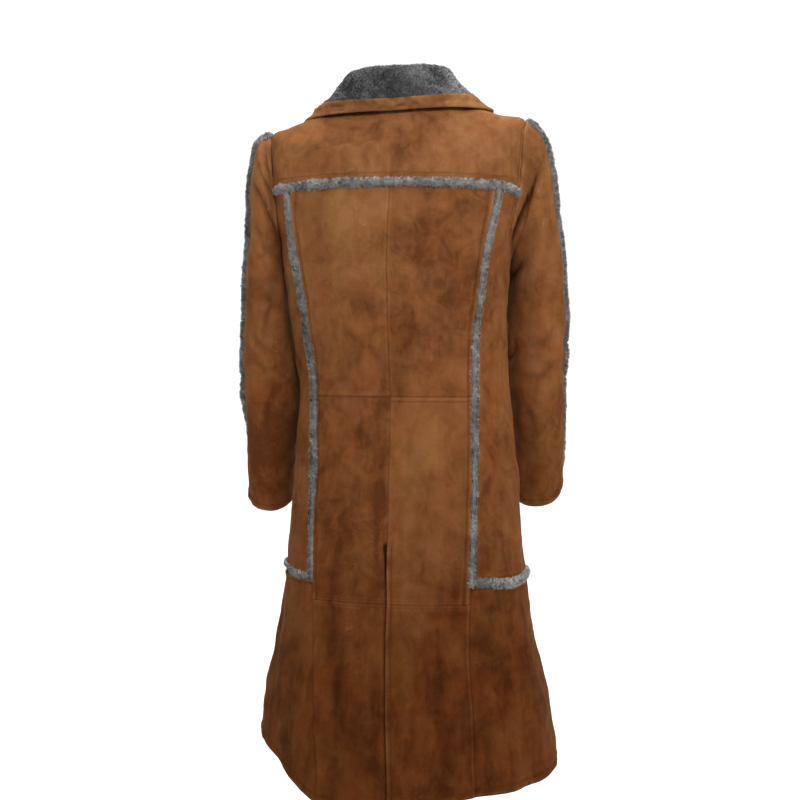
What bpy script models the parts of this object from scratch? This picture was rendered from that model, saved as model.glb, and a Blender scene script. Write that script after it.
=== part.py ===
"""Long suede coat with fur piping, standing open and hollow as it is worn.

Metres, +Z up. The coat's front faces -Y, its back +Y, and the wearer's left is +X. The origin is
the middle of the neck at the height of the shoulders, where the wearer holds the coat up.

Every panel is a wall cut from one of two surfaces: the body, a stack of rings from the neckline
down to the hem, and a sleeve, a run of rings from the armhole to the cuff. Seams follow the rings
and the lines between them, so neighbours share their points and stand SEAM_GAP apart.
"""

import functools
import math
from collections import namedtuple

import bmesh
import bpy
from mathutils import Vector

# ---- driving dimensions ------------------------------------------------------------------------

WALL = 0.0030            # suede with its clipped fleece
SEAM_GAP = 0.0003        # left between two sewn pieces
TRIM_CLEARANCE = 0.0008  # between a panel and what is sewn on it
TRIM_WIDTH = 0.0140      # fur piping across
TRIM_HEIGHT = 0.0090     # reach of its pile above the panel
END_HEIGHT = 0.5         # of the piping's reach, where it tapers off at an end
VENT_WIDTH = 0.0050      # how far the centre-back vent stands open
VENT_LEAN = 1.8          # degrees round the hem by which it has swung to the wearer's left
FRONT_OVERLAP = 10.0     # degrees that each front runs past the centre front
LAP_START = 158.0        # where the right front begins to rise over the left one, and where it
LAP_FULL = 169.0         # has risen enough to clear it, in degrees from the centre back
BUTTON_RADIUS = 0.0125
BUTTON_SIDES = 24
BUTTON_BEVEL = 0.0008
BUTTON_THICKNESS = 0.0040
COLLAR_END = 171.0       # degrees from the centre back where the collar stops, each way

# ---- section tables ----------------------------------------------------------------------------

# The body's rings, from the neckline down. Angles run from the centre back (0) to the centre
# front (180). "princess" is the piped seam between back and side, "arm_back" and "arm_front" are
# the armhole's two edges, which meet at 90 above the shoulder tip and below the underarm.
Ring = namedtuple("Ring", "name z_back z_side z_front half_width back front boxy "
                          "princess arm_back arm_front")
BODY = [Ring(*row) for row in (
    # name        z_back   z_side   z_front  half_w  back    front   boxy  princess arm_b arm_f
    ("neckline",   0.010,   0.022,  -0.050,  0.0840, 0.0640, 0.0700, 2.00, 51.0,  90.0,  90.0),
    ("neck",      -0.012,   0.014,  -0.070,  0.1120, 0.0790, 0.0860, 2.00, 51.0,  90.0,  90.0),
    ("shoulder",  -0.034,   0.003,  -0.088,  0.1500, 0.0900, 0.0960, 2.10, 51.0,  90.0,  90.0),
    ("outer",     -0.055,  -0.008,  -0.104,  0.1830, 0.0970, 0.1040, 2.25, 51.0,  90.0,  90.0),
    ("tip",       -0.070,  -0.016,  -0.116,  0.2050, 0.1020, 0.1100, 2.40, 51.0,  90.0,  90.0),
    ("cap",       -0.082,  -0.034,  -0.126,  0.2090, 0.1050, 0.1140, 2.50, 51.0,  78.0, 102.0),
    ("blade",     -0.093,  -0.072,  -0.138,  0.2110, 0.1085, 0.1180, 2.55, 51.0,  72.5, 108.5),
    ("yoke",      -0.114,  -0.122,  -0.150,  0.2090, 0.1120, 0.1210, 2.55, 51.0,  70.5, 111.0),
    ("chest",     -0.147,  -0.152,  -0.170,  0.2040, 0.1170, 0.1260, 2.50, 52.0,  71.0, 111.0),
    ("bust",      -0.182,  -0.182,  -0.192,  0.1960, 0.1200, 0.1310, 2.45, 53.0,  75.0, 107.0),
    ("pit",       -0.206,  -0.204,  -0.210,  0.1910, 0.1200, 0.1330, 2.40, 53.0,  81.0, 100.0),
    ("underarm",  -0.222,  -0.222,  -0.224,  0.1880, 0.1190, 0.1340, 2.40, 53.0,  90.0,  90.0),
    ("rib",       -0.270,  -0.270,  -0.270,  0.1840, 0.1150, 0.1330, 2.35, 51.0,  90.0,  90.0),
    ("midriff",   -0.330,  -0.330,  -0.330,  0.1800, 0.1060, 0.1280, 2.30, 48.5,  90.0,  90.0),
    ("narrow",    -0.390,  -0.390,  -0.390,  0.1760, 0.0985, 0.1210, 2.30, 47.0,  90.0,  90.0),
    ("waist",     -0.454,  -0.454,  -0.454,  0.1755, 0.0960, 0.1150, 2.30, 46.0,  90.0,  90.0),
    ("high_hip",  -0.520,  -0.520,  -0.520,  0.1810, 0.1030, 0.1150, 2.30, 44.5,  90.0,  90.0),
    ("hip",       -0.600,  -0.600,  -0.600,  0.1880, 0.1150, 0.1190, 2.25, 42.5,  90.0,  90.0),
    ("vent",      -0.683,  -0.683,  -0.683,  0.1945, 0.1270, 0.1260, 2.25, 40.3,  90.0,  90.0),
    ("hip_trim",  -0.744,  -0.744,  -0.744,  0.2005, 0.1345, 0.1310, 2.20, 38.4,  90.0,  90.0),
    ("thigh",     -0.778,  -0.778,  -0.778,  0.2040, 0.1385, 0.1340, 2.20, 37.0,  90.0,  90.0),
    ("skirt",     -0.860,  -0.860,  -0.860,  0.2160, 0.1500, 0.1410, 2.20, 33.5,  90.0,  90.0),
    ("low_skirt", -0.950,  -0.945,  -0.945,  0.2350, 0.1660, 0.1510, 2.20, 30.8,  90.0,  90.0),
    ("hem",       -1.080,  -1.040,  -1.035,  0.2440, 0.1850, 0.1630, 2.20, 29.0,  90.0,  90.0),
)]
RINGS = {ring.name: index for index, ring in enumerate(BODY)}

# Height of the hem round the coat, by angle from the centre back, the wearer's left positive.
HEM = ((-180, -1.035), (-120, -1.045), (-90, -1.055), (-70, -1.061), (-50, -1.067), (-30, -1.068),
       (-15, -1.080), (0, -1.090), (15, -1.096), (30, -1.088), (50, -1.046), (70, -1.018),
       (90, -1.010), (120, -1.008), (180, -1.035))

# How the wearer stands: sideways lean, and the turn of the back towards the wearer's left.
Stance = namedtuple("Stance", "z lean turn")
STANCE = [Stance(*row) for row in (
    (-1.080, -0.0250, 8.5),
    (-0.950, -0.0200, 9.8),
    (-0.840, -0.0165, 11.3),
    (-0.700, -0.0175, 13.7),
    (-0.550, -0.0170, 14.0),
    (-0.465, -0.0150, 13.5),
    (-0.390, -0.0090, 11.5),
    (-0.330, -0.0050, 9.5),
    (-0.220, -0.0030, 8.0),
    (-0.100, -0.0070, 7.5),
    (-0.040, -0.0050, 6.5),
    (0.080, -0.0060, 6.0),
)]
# Soft flutes that the skirt falls into, each a trough that deepens down to the hem.
Flute = namedtuple("Flute", "degrees half_width depth top")
FLUTES = [Flute(*row) for row in (
    # degrees half_w depth   top ring
    (-148.0, 11.0, 0.0060, "hip_trim"),
    (-118.0, 15.0, 0.0080, "thigh"),
    (-57.0, 13.0, 0.0050, "thigh"),
    (-19.0, 12.0, 0.0045, "skirt"),
    (20.0, 13.0, 0.0060, "thigh"),
    (58.0, 14.0, 0.0070, "hip_trim"),
    (121.0, 16.0, 0.0090, "thigh"),
    (147.0, 11.0, 0.0055, "skirt"),
)]

SHOULDER_TILT = 0.045    # rise per metre towards the wearer's right
TILT_TOP = -0.020        # above this height the tilt is full
TILT_BOTTOM = -0.110     # below this height there is none

# The sleeves' rings after the armhole. "outer" and "inner" are the ends of each ring on the arm's
# two sides, x outwards from the coat's middle. "reach" is how far behind its middle the inner end
# lies, so it is negative where the arm's inner side is further forward. "depth" is half of the ring
# from back to front, "drop" is how much lower its back is than its middle, and "turn" swings the
# piped seam forwards.
Cuff = namedtuple("Cuff", "outer_x outer_z inner_x inner_z y reach depth drop turn")
SLEEVE_LEFT = [Cuff(*row) for row in (
    # outer_x outer_z  inner_x inner_z  y       reach   depth   drop   turn
    (0.2230, -0.0400, 0.1875, -0.2290,  0.000, -0.024, 0.0580, 0.000,  3.0),
    (0.2300, -0.0620, 0.1860, -0.2380,  0.000, -0.034, 0.0630, 0.000,  5.0),
    (0.2350, -0.0950, 0.1855, -0.2500, -0.002, -0.040, 0.0660, 0.000,  6.0),
    (0.2385, -0.1350, 0.1830, -0.2660, -0.005, -0.043, 0.0680, 0.000,  7.0),
    (0.2410, -0.1850, 0.1800, -0.2860, -0.009, -0.044, 0.0690, 0.002,  8.0),
    (0.2430, -0.2400, 0.1775, -0.3100, -0.012, -0.044, 0.0680, 0.004,  8.0),
    (0.2460, -0.3000, 0.1735, -0.3400, -0.014, -0.044, 0.0660, 0.006,  9.0),
    (0.2500, -0.3580, 0.1670, -0.3760, -0.018, -0.042, 0.0630, 0.010, 10.0),
    (0.2500, -0.4150, 0.1610, -0.4200, -0.028, -0.034, 0.0600, 0.018, 12.0),
    (0.2490, -0.4750, 0.1585, -0.4750, -0.046, -0.022, 0.0570, 0.024, 17.0),
    (0.2500, -0.5350, 0.1635, -0.5350, -0.070, -0.010, 0.0540, 0.026, 24.0),
    (0.2515, -0.5850, 0.1685, -0.5850, -0.090, -0.004, 0.0510, 0.026, 31.0),
    (0.2530, -0.6290, 0.1735, -0.6290, -0.107, -0.001, 0.0490, 0.026, 36.0),
)]
SLEEVE_RIGHT = [Cuff(*row) for row in (
    # outer_x outer_z  inner_x inner_z  y       reach   depth   drop   turn
    (0.2330, -0.0240, 0.1960, -0.2290,  0.000, -0.010, 0.0580, 0.000,  0.0),
    (0.2450, -0.0450, 0.1940, -0.2380,  0.000, -0.022, 0.0630, 0.000,  0.0),
    (0.2540, -0.0780, 0.1924, -0.2500,  0.000, -0.033, 0.0660, 0.000,  0.0),
    (0.2610, -0.1200, 0.1900, -0.2660, -0.002, -0.040, 0.0670, 0.000,  0.0),
    (0.2680, -0.1730, 0.1880, -0.2860, -0.004, -0.041, 0.0670, 0.002,  1.0),
    (0.2740, -0.2330, 0.1860, -0.3100, -0.006, -0.041, 0.0650, 0.004,  2.0),
    (0.2780, -0.2950, 0.1850, -0.3400, -0.008, -0.041, 0.0630, 0.006,  3.0),
    (0.2810, -0.3580, 0.1845, -0.3760, -0.012, -0.039, 0.0600, 0.010,  4.0),
    (0.2797, -0.4150, 0.1865, -0.4200, -0.022, -0.032, 0.0570, 0.018,  8.0),
    (0.2810, -0.4750, 0.1920, -0.4750, -0.040, -0.020, 0.0540, 0.024, 13.0),
    (0.2840, -0.5350, 0.2000, -0.5350, -0.064, -0.008, 0.0510, 0.026, 19.5),
    (0.2860, -0.5850, 0.2020, -0.5800, -0.084, -0.003, 0.0480, 0.026, 26.0),
    (0.2870, -0.6120, 0.2030, -0.6280, -0.100,  0.000, 0.0460, 0.026, 30.0),
)]
SLEEVES = {1: SLEEVE_LEFT, -1: SLEEVE_RIGHT}
STATIONS = len(SLEEVE_LEFT)

# The collar's closed section, from the stand's inner bottom edge up, over the fold and down the
# fall to its edge, then back up between fall and stand. Each point is placed outwards and upwards
# from the neckline, at the back, at the sides and at the front.
Fold = namedtuple("Fold", "out_back up_back out_side up_side out_front up_front")
COLLAR = [Fold(*row) for row in (
    # out_back up_back  out_side up_side  out_front up_front
    (-0.0045, 0.0012, -0.0045, 0.0012, -0.0045, 0.0060),   # stand, inner bottom
    (-0.0080, 0.0340, -0.0110, 0.0280, -0.0070, 0.0300),
    (-0.0060, 0.0600, -0.0130, 0.0510, -0.0060, 0.0500),
    (0.0010, 0.0690, -0.0080, 0.0575, 0.0010, 0.0560),     # top of the fold
    (0.0100, 0.0650, 0.0025, 0.0525, 0.0100, 0.0510),
    (0.0160, 0.0500, 0.0140, 0.0360, 0.0220, 0.0280),
    (0.0190, 0.0310, 0.0270, 0.0205, 0.0340, 0.0000),
    (0.0200, 0.0135, 0.0400, 0.0085, 0.0450, -0.0300),    # edge of the fall
    (0.0120, 0.0130, 0.0345, 0.0035, 0.0380, -0.0290),
    (0.0105, 0.0300, 0.0230, 0.0125, 0.0260, -0.0040),
    (0.0080, 0.0440, 0.0120, 0.0245, 0.0120, 0.0200),      # throat between fall and stand
    (0.0055, 0.0250, 0.0070, 0.0150, 0.0060, 0.0150),
    (0.0045, 0.0012, 0.0045, 0.0012, 0.0045, 0.0060),      # stand, outer bottom
)]
BAND = [Fold(*row) for row in (
    (0.0125, 0.0125, 0.0352, 0.0030, 0.0388, -0.0295),    # inner top
    (0.0185, 0.0130, 0.0405, 0.0079, 0.0455, -0.0306),    # outer top
    (0.0215, 0.0080, 0.0520, 0.0010, 0.0490, -0.0380),
    (0.0220, -0.0020, 0.0650, -0.0080, 0.0530, -0.0470),
    (0.0200, -0.0095, 0.0765, -0.0155, 0.0540, -0.0530),   # outer bottom
    (0.0155, -0.0090, 0.0735, -0.0180, 0.0490, -0.0530),   # inner bottom
    (0.0135, 0.0010, 0.0555, -0.0070, 0.0440, -0.0410),
)]

BACK_STEPS = 6           # columns from the centre back to the princess seam
SIDE_STEPS = 4           # princess seam to armhole or side seam
FRONT_STEPS = 9          # side seam to the front edge
COLLAR_STEPS = 28
HIP_TRIM_FRONT = 2       # front columns that the hip piping runs over before it ends
BUTTON_HEIGHTS = (-0.155, -0.285, -0.415, -0.545)

Crown = namedtuple("Crown", "reach rise")
TRIM_CROWN = (           # the piping's rounded top, in shares of its width and of its height
    Crown(0.48, 0.45),
    Crown(0.30, 0.88),
    Crown(0.00, 1.00),
    Crown(-0.30, 0.88),
    Crown(-0.48, 0.45),
)
TRIM_INSET = 0.008       # how far the sleeve piping ends short of the shoulder and the cuff
RING_CLEAR = 0.2         # no trim section lies nearer than this share of a ring to its ends

PROBE_DEGREES = 2.0      # how far round, and how many rings along, a surface is felt for its slope
PROBE_RINGS = 0.5
AXIS_DROP = 0.08         # how far below a point the axis is that its outside faces away from
MITRE_LIMIT = 0.2        # cosine of the sharpest fold between body and sleeve that is mitred

SUEDE = ("suede", (0.27, 0.115, 0.045), 0.92)
FUR = ("fur", (0.20, 0.21, 0.22), 0.97)
HORN = ("horn", (0.07, 0.035, 0.018), 0.35)


# ---- surfaces ----------------------------------------------------------------------------------

def between(table, key):
    """Straight-line value from a table of (key, value) rows in rising order of key."""
    if key <= table[0][0]:
        return table[0][1]
    for (low, first), (high, second) in zip(table, table[1:]):
        if key <= high:
            return first + (second - first) * (key - low) / (high - low)
    return table[-1][1]


def smooth_step(low, high, value):
    share = min(1.0, max(0.0, (value - low) / (high - low)))
    return share * share * (3.0 - 2.0 * share)


def catmull(before, start, end, after, share):
    """Point or number a share of the way from start to end, on a smooth curve through all four."""
    return 0.5 * (2.0 * start + (end - before) * share
                  + (2.0 * before - 5.0 * start + 4.0 * end - after) * share ** 2
                  + (3.0 * start - before - 3.0 * end + after) * share ** 3)


def along(values, position):
    """The smooth curve through evenly counted values, read at a position between them."""
    last = len(values) - 1
    index = min(last - 1, max(0, int(math.floor(position))))
    share = position - index
    if share == 0.0:
        return values[index]
    start, end = values[index], values[index + 1]
    before = values[index - 1] if index else 2.0 * start - end
    after = values[index + 2] if index + 2 <= last else 2.0 * end - start
    return catmull(before, start, end, after, share)


def ring_value(name, row):
    return along([getattr(ring, name) for ring in BODY], row)


def by_side(back, side, front, angle):
    """Blends a value known at the back, sides and front round the ring."""
    weight = math.cos(angle) ** 2
    return side + ((back if math.cos(angle) > 0.0 else front) - side) * weight


def stand(point):
    """Puts a point of the upright, even coat into the wearer's stance."""
    lean = between([(row.z, row.lean) for row in STANCE], point.z)
    turn = -math.radians(between([(row.z, row.turn) for row in STANCE], point.z))
    x = point.x * math.cos(turn) - point.y * math.sin(turn) + lean
    y = point.x * math.sin(turn) + point.y * math.cos(turn)
    tilt = SHOULDER_TILT * smooth_step(TILT_BOTTOM, TILT_TOP, point.z)
    return Vector((x, y, point.z - tilt * point.x))


def flute_depth(degrees, row):
    """How far the skirt is drawn in towards its axis by its flutes."""
    depth = 0.0
    for flute in FLUTES:
        away = abs((degrees - flute.degrees + 180.0) % 360.0 - 180.0) / flute.half_width
        if away < 1.0:
            top = RINGS[flute.top]
            depth += flute.depth * math.cos(away * math.pi / 2.0) ** 2 * smooth_step(
                top, len(BODY) - 1, row)
    return depth


def body_point(degrees, row):
    """The coat's outside at an angle from the centre back, wearer's left positive."""
    angle = math.radians(degrees)
    power = 2.0 / ring_value("boxy", row)
    sine, cosine = math.sin(angle), math.cos(angle)
    depth = ring_value("back" if cosine > 0.0 else "front", row)
    x = ring_value("half_width", row) * math.copysign(abs(sine) ** power, sine)
    y = depth * math.copysign(abs(cosine) ** power, cosine)
    z = by_side(*(ring_value(name, row) for name in ("z_back", "z_side", "z_front")), angle)
    last = len(BODY) - 1
    if row > last - 1:
        wrapped = (degrees + 180.0) % 360.0 - 180.0
        straight = by_side(BODY[-1].z_back, BODY[-1].z_side, BODY[-1].z_front, angle)
        z += (between(HEM, wrapped) - straight) * (row - last + 1.0)
    drawn_in = 1.0 - flute_depth(degrees, row) / math.hypot(x, y)
    return stand(Vector((x * drawn_in, y * drawn_in, z)))


def body_normal(degrees, row):
    around = body_point(degrees + PROBE_DEGREES, row) - body_point(degrees - PROBE_DEGREES, row)
    down = (body_point(degrees, min(row + PROBE_RINGS, len(BODY) - 1))
            - body_point(degrees, max(row - PROBE_RINGS, 0)))
    normal = around.cross(down).normalized()
    point = body_point(degrees, row)
    outward = point - stand(Vector((0.0, 0.0, point.z - AXIS_DROP)))
    return normal if normal.dot(outward) > 0.0 else -normal


def arm_angle(row, back):
    return ring_value("arm_back" if back else "arm_front", row)


def armhole_turn(row):
    """How far round the armhole a ring meets it: 0 at the shoulder tip, pi at the underarm."""
    top, bottom = BODY[RINGS["tip"]].z_side, BODY[RINGS["underarm"]].z_side
    height = ring_value("z_side", row)
    return math.acos(max(-1.0, min(1.0, 1.0 - 2.0 * (top - height) / (top - bottom))))


def sleeve_ring_point(side, back, row, station):
    """A point of one of the sleeve's own rings; side is +1 for the wearer's left."""
    ring = SLEEVES[side][station]
    outer = Vector((ring.outer_x, 0.0, ring.outer_z))
    inner = Vector((ring.inner_x, 0.0, ring.inner_z))
    turn = armhole_turn(row) * (1.0 if back else -1.0)
    turn -= math.radians(ring.turn) * math.cos(armhole_turn(row) / 2.0) ** 2
    point = (outer + inner) / 2.0 + (outer - inner) / 2.0 * math.cos(turn)
    point += Vector((0.0, ring.depth, -ring.drop)) * math.sin(turn)
    point.y += ring.reach * (1.0 - math.cos(turn)) / 2.0
    return Vector((side * point.x, point.y + ring.y, point.z))


def sleeve_point(side, back, row, station):
    """The sleeve's outside: station 0 is the armhole, the last is the cuff."""
    rings = [body_point(side * arm_angle(row, back), row)]
    rings += [sleeve_ring_point(side, back, row, index) for index in range(STATIONS)]
    return along(rings, station)


def sleeve_normal(side, back, row, station):
    top, bottom = RINGS["tip"], RINGS["underarm"]

    def beside(offset):
        """The sleeve's point a little further round, past a seam where need be."""
        moved = row + offset
        if moved < top:
            return sleeve_point(side, not back, 2 * top - moved, station)
        if moved > bottom:
            return sleeve_point(side, not back, 2 * bottom - moved, station)
        return sleeve_point(side, back, moved, station)

    around = beside(PROBE_RINGS) - beside(-PROBE_RINGS)
    run = (sleeve_point(side, back, row, min(station + PROBE_RINGS, STATIONS))
           - sleeve_point(side, back, row, max(station - PROBE_RINGS, 0)))
    normal = around.cross(run).normalized()
    middle = (sleeve_point(side, back, top, station) + sleeve_point(side, back, bottom, station)) / 2
    outward = sleeve_point(side, back, row, station) - middle
    return normal if normal.dot(outward) > 0.0 else -normal


def armhole_normal(side, back, row):
    """The mitre that the body and the sleeve share along the upper armhole seam."""
    body = body_normal(side * arm_angle(row, back), row)
    sleeve = sleeve_normal(side, back, row, 0)
    return (body + sleeve).normalized() if body.dot(sleeve) > MITRE_LIMIT else None


# ---- solids ------------------------------------------------------------------------------------

def material(look):
    name, colour, roughness = look
    made = bpy.data.materials.get(name)
    if made is None:
        made = bpy.data.materials.new(name)
        made.use_nodes = True
        shader = made.node_tree.nodes["Principled BSDF"]
        shader.inputs["Base Color"].default_value = (*colour, 1.0)
        shader.inputs["Roughness"].default_value = roughness
        shader.inputs["Metallic"].default_value = 0.0
    return made


def solid(name, points, faces, look):
    """One closed object from its points and faces, turned so that every face points out."""
    mesh = bpy.data.meshes.new(name)
    mesh.from_pydata([tuple(point) for point in points], [], faces)
    work = bmesh.new()
    work.from_mesh(mesh)
    bmesh.ops.triangulate(work, faces=work.faces[:])
    bmesh.ops.recalc_face_normals(work, faces=work.faces[:])
    work.to_mesh(mesh)
    work.free()
    mesh.shade_smooth()
    mesh.set_sharp_from_angle(angle=math.radians(40))
    mesh.materials.append(material(look))
    made = bpy.data.objects.new(name, mesh)
    bpy.context.collection.objects.link(made)
    return made


def draw_in(grid, edges):
    """Moves the named border lines of a grid of points half a seam gap in from the seam."""
    def move(pair_of):
        border, inside = pair_of
        for line in range(len(border)):
            way = inside[line] - border[line]
            border[line] = border[line] + way.normalized() * SEAM_GAP / 2.0
        return border

    if "top" in edges:
        grid[0] = move((grid[0], grid[1]))
    if "bottom" in edges:
        grid[-1] = move((grid[-1], grid[-2]))
    if "first" in edges:
        column = move(([line[0] for line in grid], [line[1] for line in grid]))
        for line, point in zip(grid, column):
            line[0] = point
    if "last" in edges:
        column = move(([line[-1] for line in grid], [line[-2] for line in grid]))
        for line, point in zip(grid, column):
            line[-1] = point


def wall(name, grid, normals, look=SUEDE, edges=("top", "bottom", "first", "last")):
    """A panel WALL thick: grid is its outside, and the inside lies in along the normals."""
    grid = [list(line) for line in grid]
    draw_in(grid, edges)
    rows, columns = len(grid), len(grid[0])
    points = [point for line in grid for point in line]
    points += [point - normal * WALL
               for line, line_normals in zip(grid, normals)
               for point, normal in zip(line, line_normals)]
    inside = rows * columns

    def at(row, column):
        return row * columns + column

    faces = []
    for row in range(rows - 1):
        for column in range(columns - 1):
            quad = (at(row, column), at(row, column + 1), at(row + 1, column + 1), at(row + 1, column))
            faces.append(quad)
            faces.append(tuple(inside + index for index in reversed(quad)))
    rim = [at(0, column) for column in range(columns)]
    rim += [at(row, columns - 1) for row in range(1, rows)]
    rim += [at(rows - 1, column) for column in range(columns - 2, -1, -1)]
    rim += [at(row, 0) for row in range(rows - 2, 0, -1)]
    for first, second in zip(rim, rim[1:] + rim[:1]):
        faces.append((second, first, inside + first, inside + second))
    return solid(name, points, faces, look)


def loft(name, sections, look):
    """A closed solid through sections of equally many points, with a flat cap at each end."""
    count = len(sections[0])
    points = [point for section in sections for point in section]
    faces = []
    for index in range(len(sections) - 1):
        for corner in range(count):
            after = (corner + 1) % count
            low, high = index * count, (index + 1) * count
            faces.append((low + corner, low + after, high + after, high + corner))
    faces.append(tuple(range(count)))
    faces.append(tuple(range(len(points) - count, len(points))))
    return solid(name, points, faces, look)


# ---- body panels -------------------------------------------------------------------------------

def back_columns(row):
    """Angles from the centre back out to the armhole or side seam, for one ring."""
    princess, arm = ring_value("princess", row), ring_value("arm_back", row)
    columns = [princess * step / BACK_STEPS for step in range(BACK_STEPS + 1)]
    columns += [princess + (arm - princess) * step / SIDE_STEPS for step in range(1, SIDE_STEPS + 1)]
    return columns


def front_columns(row):
    """Angles from the armhole or side seam to the front edge, alike on both sides of the front."""
    arm = ring_value("arm_front", row)
    lap = 180.0 - FRONT_OVERLAP
    columns = [arm + (lap - arm) * step / (FRONT_STEPS - 2) for step in range(FRONT_STEPS - 1)]
    return columns + [180.0, 180.0 + FRONT_OVERLAP]


def body_panel(name, side, columns_of, first, last, top, bottom, edges, lift=None):
    """A wall between two columns and two named rings of the body."""
    grid, normals = [], []
    for row in range(RINGS[top], RINGS[bottom] + 1):
        line, line_normals = [], []
        columns = columns_of(row)
        for step in range(first, last + 1):
            degrees = side * columns[step]
            point, normal = body_point(degrees, row), body_normal(degrees, row)
            at_armhole = (RINGS["tip"] <= row <= RINGS["underarm"]
                          and columns[step] in (arm_angle(row, True), arm_angle(row, False)))
            if at_armhole:
                back = columns_of is not front_columns
                normal = armhole_normal(side, back, row) or normal
            if lift:
                point = point + normal * lift(columns[step])
            line.append(point)
            line_normals.append(normal)
        grid.append(line)
        normals.append(line_normals)
    return wall(name, grid, normals, edges=edges)


def yoke_panel():
    """The yoke, one piece across both shoulders."""
    grid, normals = [], []
    for row in range(RINGS["neckline"], RINGS["yoke"] + 1):
        half = back_columns(row)
        line, line_normals = [], []
        for degrees in [-angle for angle in reversed(half)] + half[1:]:
            side = 1 if degrees > 0.0 else -1
            normal = body_normal(degrees, row)
            if row >= RINGS["tip"] and abs(degrees) == half[-1]:
                normal = armhole_normal(side, True, row) or normal
            line.append(body_point(degrees, row))
            line_normals.append(normal)
        grid.append(line)
        normals.append(line_normals)
    return wall("back_yoke", grid, normals)


def overlap_lift(degrees):
    """How far the right front stands off the left front that it covers."""
    return (WALL + 2.0 * TRIM_CLEARANCE) * smooth_step(LAP_START, LAP_FULL, degrees)


def body_panels():
    yoke_panel()
    all_edges = ("top", "bottom", "first", "last")
    for side, hand in ((1, "left"), (-1, "right")):
        outer, centre_columns = BACK_STEPS + SIDE_STEPS, functools.partial(vent_columns, side)
        for name, top, bottom in (("back_upper", "yoke", "waist"), ("back_middle", "waist", "thigh")):
            body_panel(f"{name}_{hand}", side, centre_columns, 0, BACK_STEPS, top, bottom, all_edges)
        body_panel(f"back_skirt_{hand}", side, centre_columns, 0, BACK_STEPS, "thigh", "hem",
                   ("top", "last"))
        body_panel(f"side_{hand}", side, back_columns, BACK_STEPS, outer, "yoke", "hip_trim", all_edges)
        body_panel(f"side_skirt_{hand}", side, back_columns, BACK_STEPS, outer, "hip_trim", "hem",
                   ("top", "first", "last"))
    body_panel("front_left", 1, front_columns, 0, FRONT_STEPS, "neckline", "hem", ("first",))
    body_panel("front_right", -1, front_columns, 0, FRONT_STEPS, "neckline", "hem", ("first",),
               overlap_lift)


def vent_columns(side, row):
    """The back columns with their inner edge moved to leave the vent open below its top."""
    columns = back_columns(row)
    if row <= RINGS["vent"]:
        return columns
    half_width, princess = ring_value("half_width", row), columns[BACK_STEPS]
    lean = VENT_LEAN * max(0.0, row - RINGS["thigh"]) / (RINGS["hem"] - RINGS["thigh"])
    opening = math.degrees(VENT_WIDTH / 2.0 / half_width) + side * lean
    return [opening + angle * (princess - opening) / princess if angle < princess else angle
            for angle in columns]


# ---- sleeves -----------------------------------------------------------------------------------

def sleeves():
    for side, hand in ((1, "left"), (-1, "right")):
        for back, face in ((True, "back"), (False, "front")):
            grid, normals = [], []
            for station in range(STATIONS + 1):
                line, line_normals = [], []
                for row in range(RINGS["tip"], RINGS["underarm"] + 1):
                    normal = sleeve_normal(side, back, row, station)
                    if station == 0:
                        normal = armhole_normal(side, back, row) or normal
                    line.append(sleeve_point(side, back, row, station))
                    line_normals.append(normal)
                grid.append(line)
                normals.append(line_normals)
            wall(f"sleeve_{face}_{hand}", grid, normals, edges=("top", "first", "last"))


# ---- fur piping --------------------------------------------------------------------------------

def trim(name, path):
    """A rounded strip along stations of three (point, normal) pairs, just off its panels."""
    half = TRIM_WIDTH / 2.0
    sections = []
    for count, (left, middle, right) in enumerate(path):
        (left_point, left_normal), (point, normal), (right_point, right_normal) = left, middle, right
        width = right_point - left_point
        height = TRIM_HEIGHT * (END_HEIGHT if count in (0, len(path) - 1) else 1.0)
        base = [left_point + left_normal * TRIM_CLEARANCE, point + normal * TRIM_CLEARANCE,
                right_point + right_normal * TRIM_CLEARANCE]
        crown = [point + normal * (TRIM_CLEARANCE + height * arc.rise) + width * arc.reach
                 for arc in TRIM_CROWN]
        sections.append(base + crown)
    return loft(name, sections, FUR)


def body_facet(degrees_of, row):
    """A point and normal on the panel's facets, between the rings where row isn't whole."""
    low = min(int(math.floor(row)), len(BODY) - 2)
    share = row - low
    above = body_point(degrees_of(low), low)
    below = body_point(degrees_of(low + 1), low + 1)
    return above.lerp(below, share), body_normal(degrees_of(row), row)


def degrees_for(width, row):
    """The angle that a width along the ring spans near the princess seam."""
    princess = ring_value("princess", row)
    arc = (body_point(princess + PROBE_DEGREES, row)
           - body_point(princess - PROBE_DEGREES, row)).length
    return 2.0 * PROBE_DEGREES * width / arc


def seam_trim(name, side, start, stop):
    """Piping down a princess seam between two positions down the rings."""
    between_ends = [row for row in range(len(BODY)) if start + RING_CLEAR < row < stop - RING_CLEAR]
    rows = [start] + between_ends + [stop]
    path = []
    for row in rows:
        stations = []
        for reach in (-0.5, 0.0, 0.5):
            def degrees_of(at, reach=reach):
                return side * (ring_value("princess", at) + degrees_for(TRIM_WIDTH, at) * reach)
            stations.append(body_facet(degrees_of, row))
        path.append(stations)
    return trim(name, path)


def ring_trim(name, angles, row):
    """Piping round a ring, through a list of angles that are also the panels' columns."""
    path = []
    for degrees in angles:
        middle = body_point(degrees, row)
        up = TRIM_WIDTH / 2.0 / (body_point(degrees, row - 1) - middle).length
        down = TRIM_WIDTH / 2.0 / (body_point(degrees, row + 1) - middle).length
        path.append([body_facet(lambda at: degrees, row - up), (middle, body_normal(degrees, row)),
                     body_facet(lambda at: degrees, row + down)])
    return trim(name, path)


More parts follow.
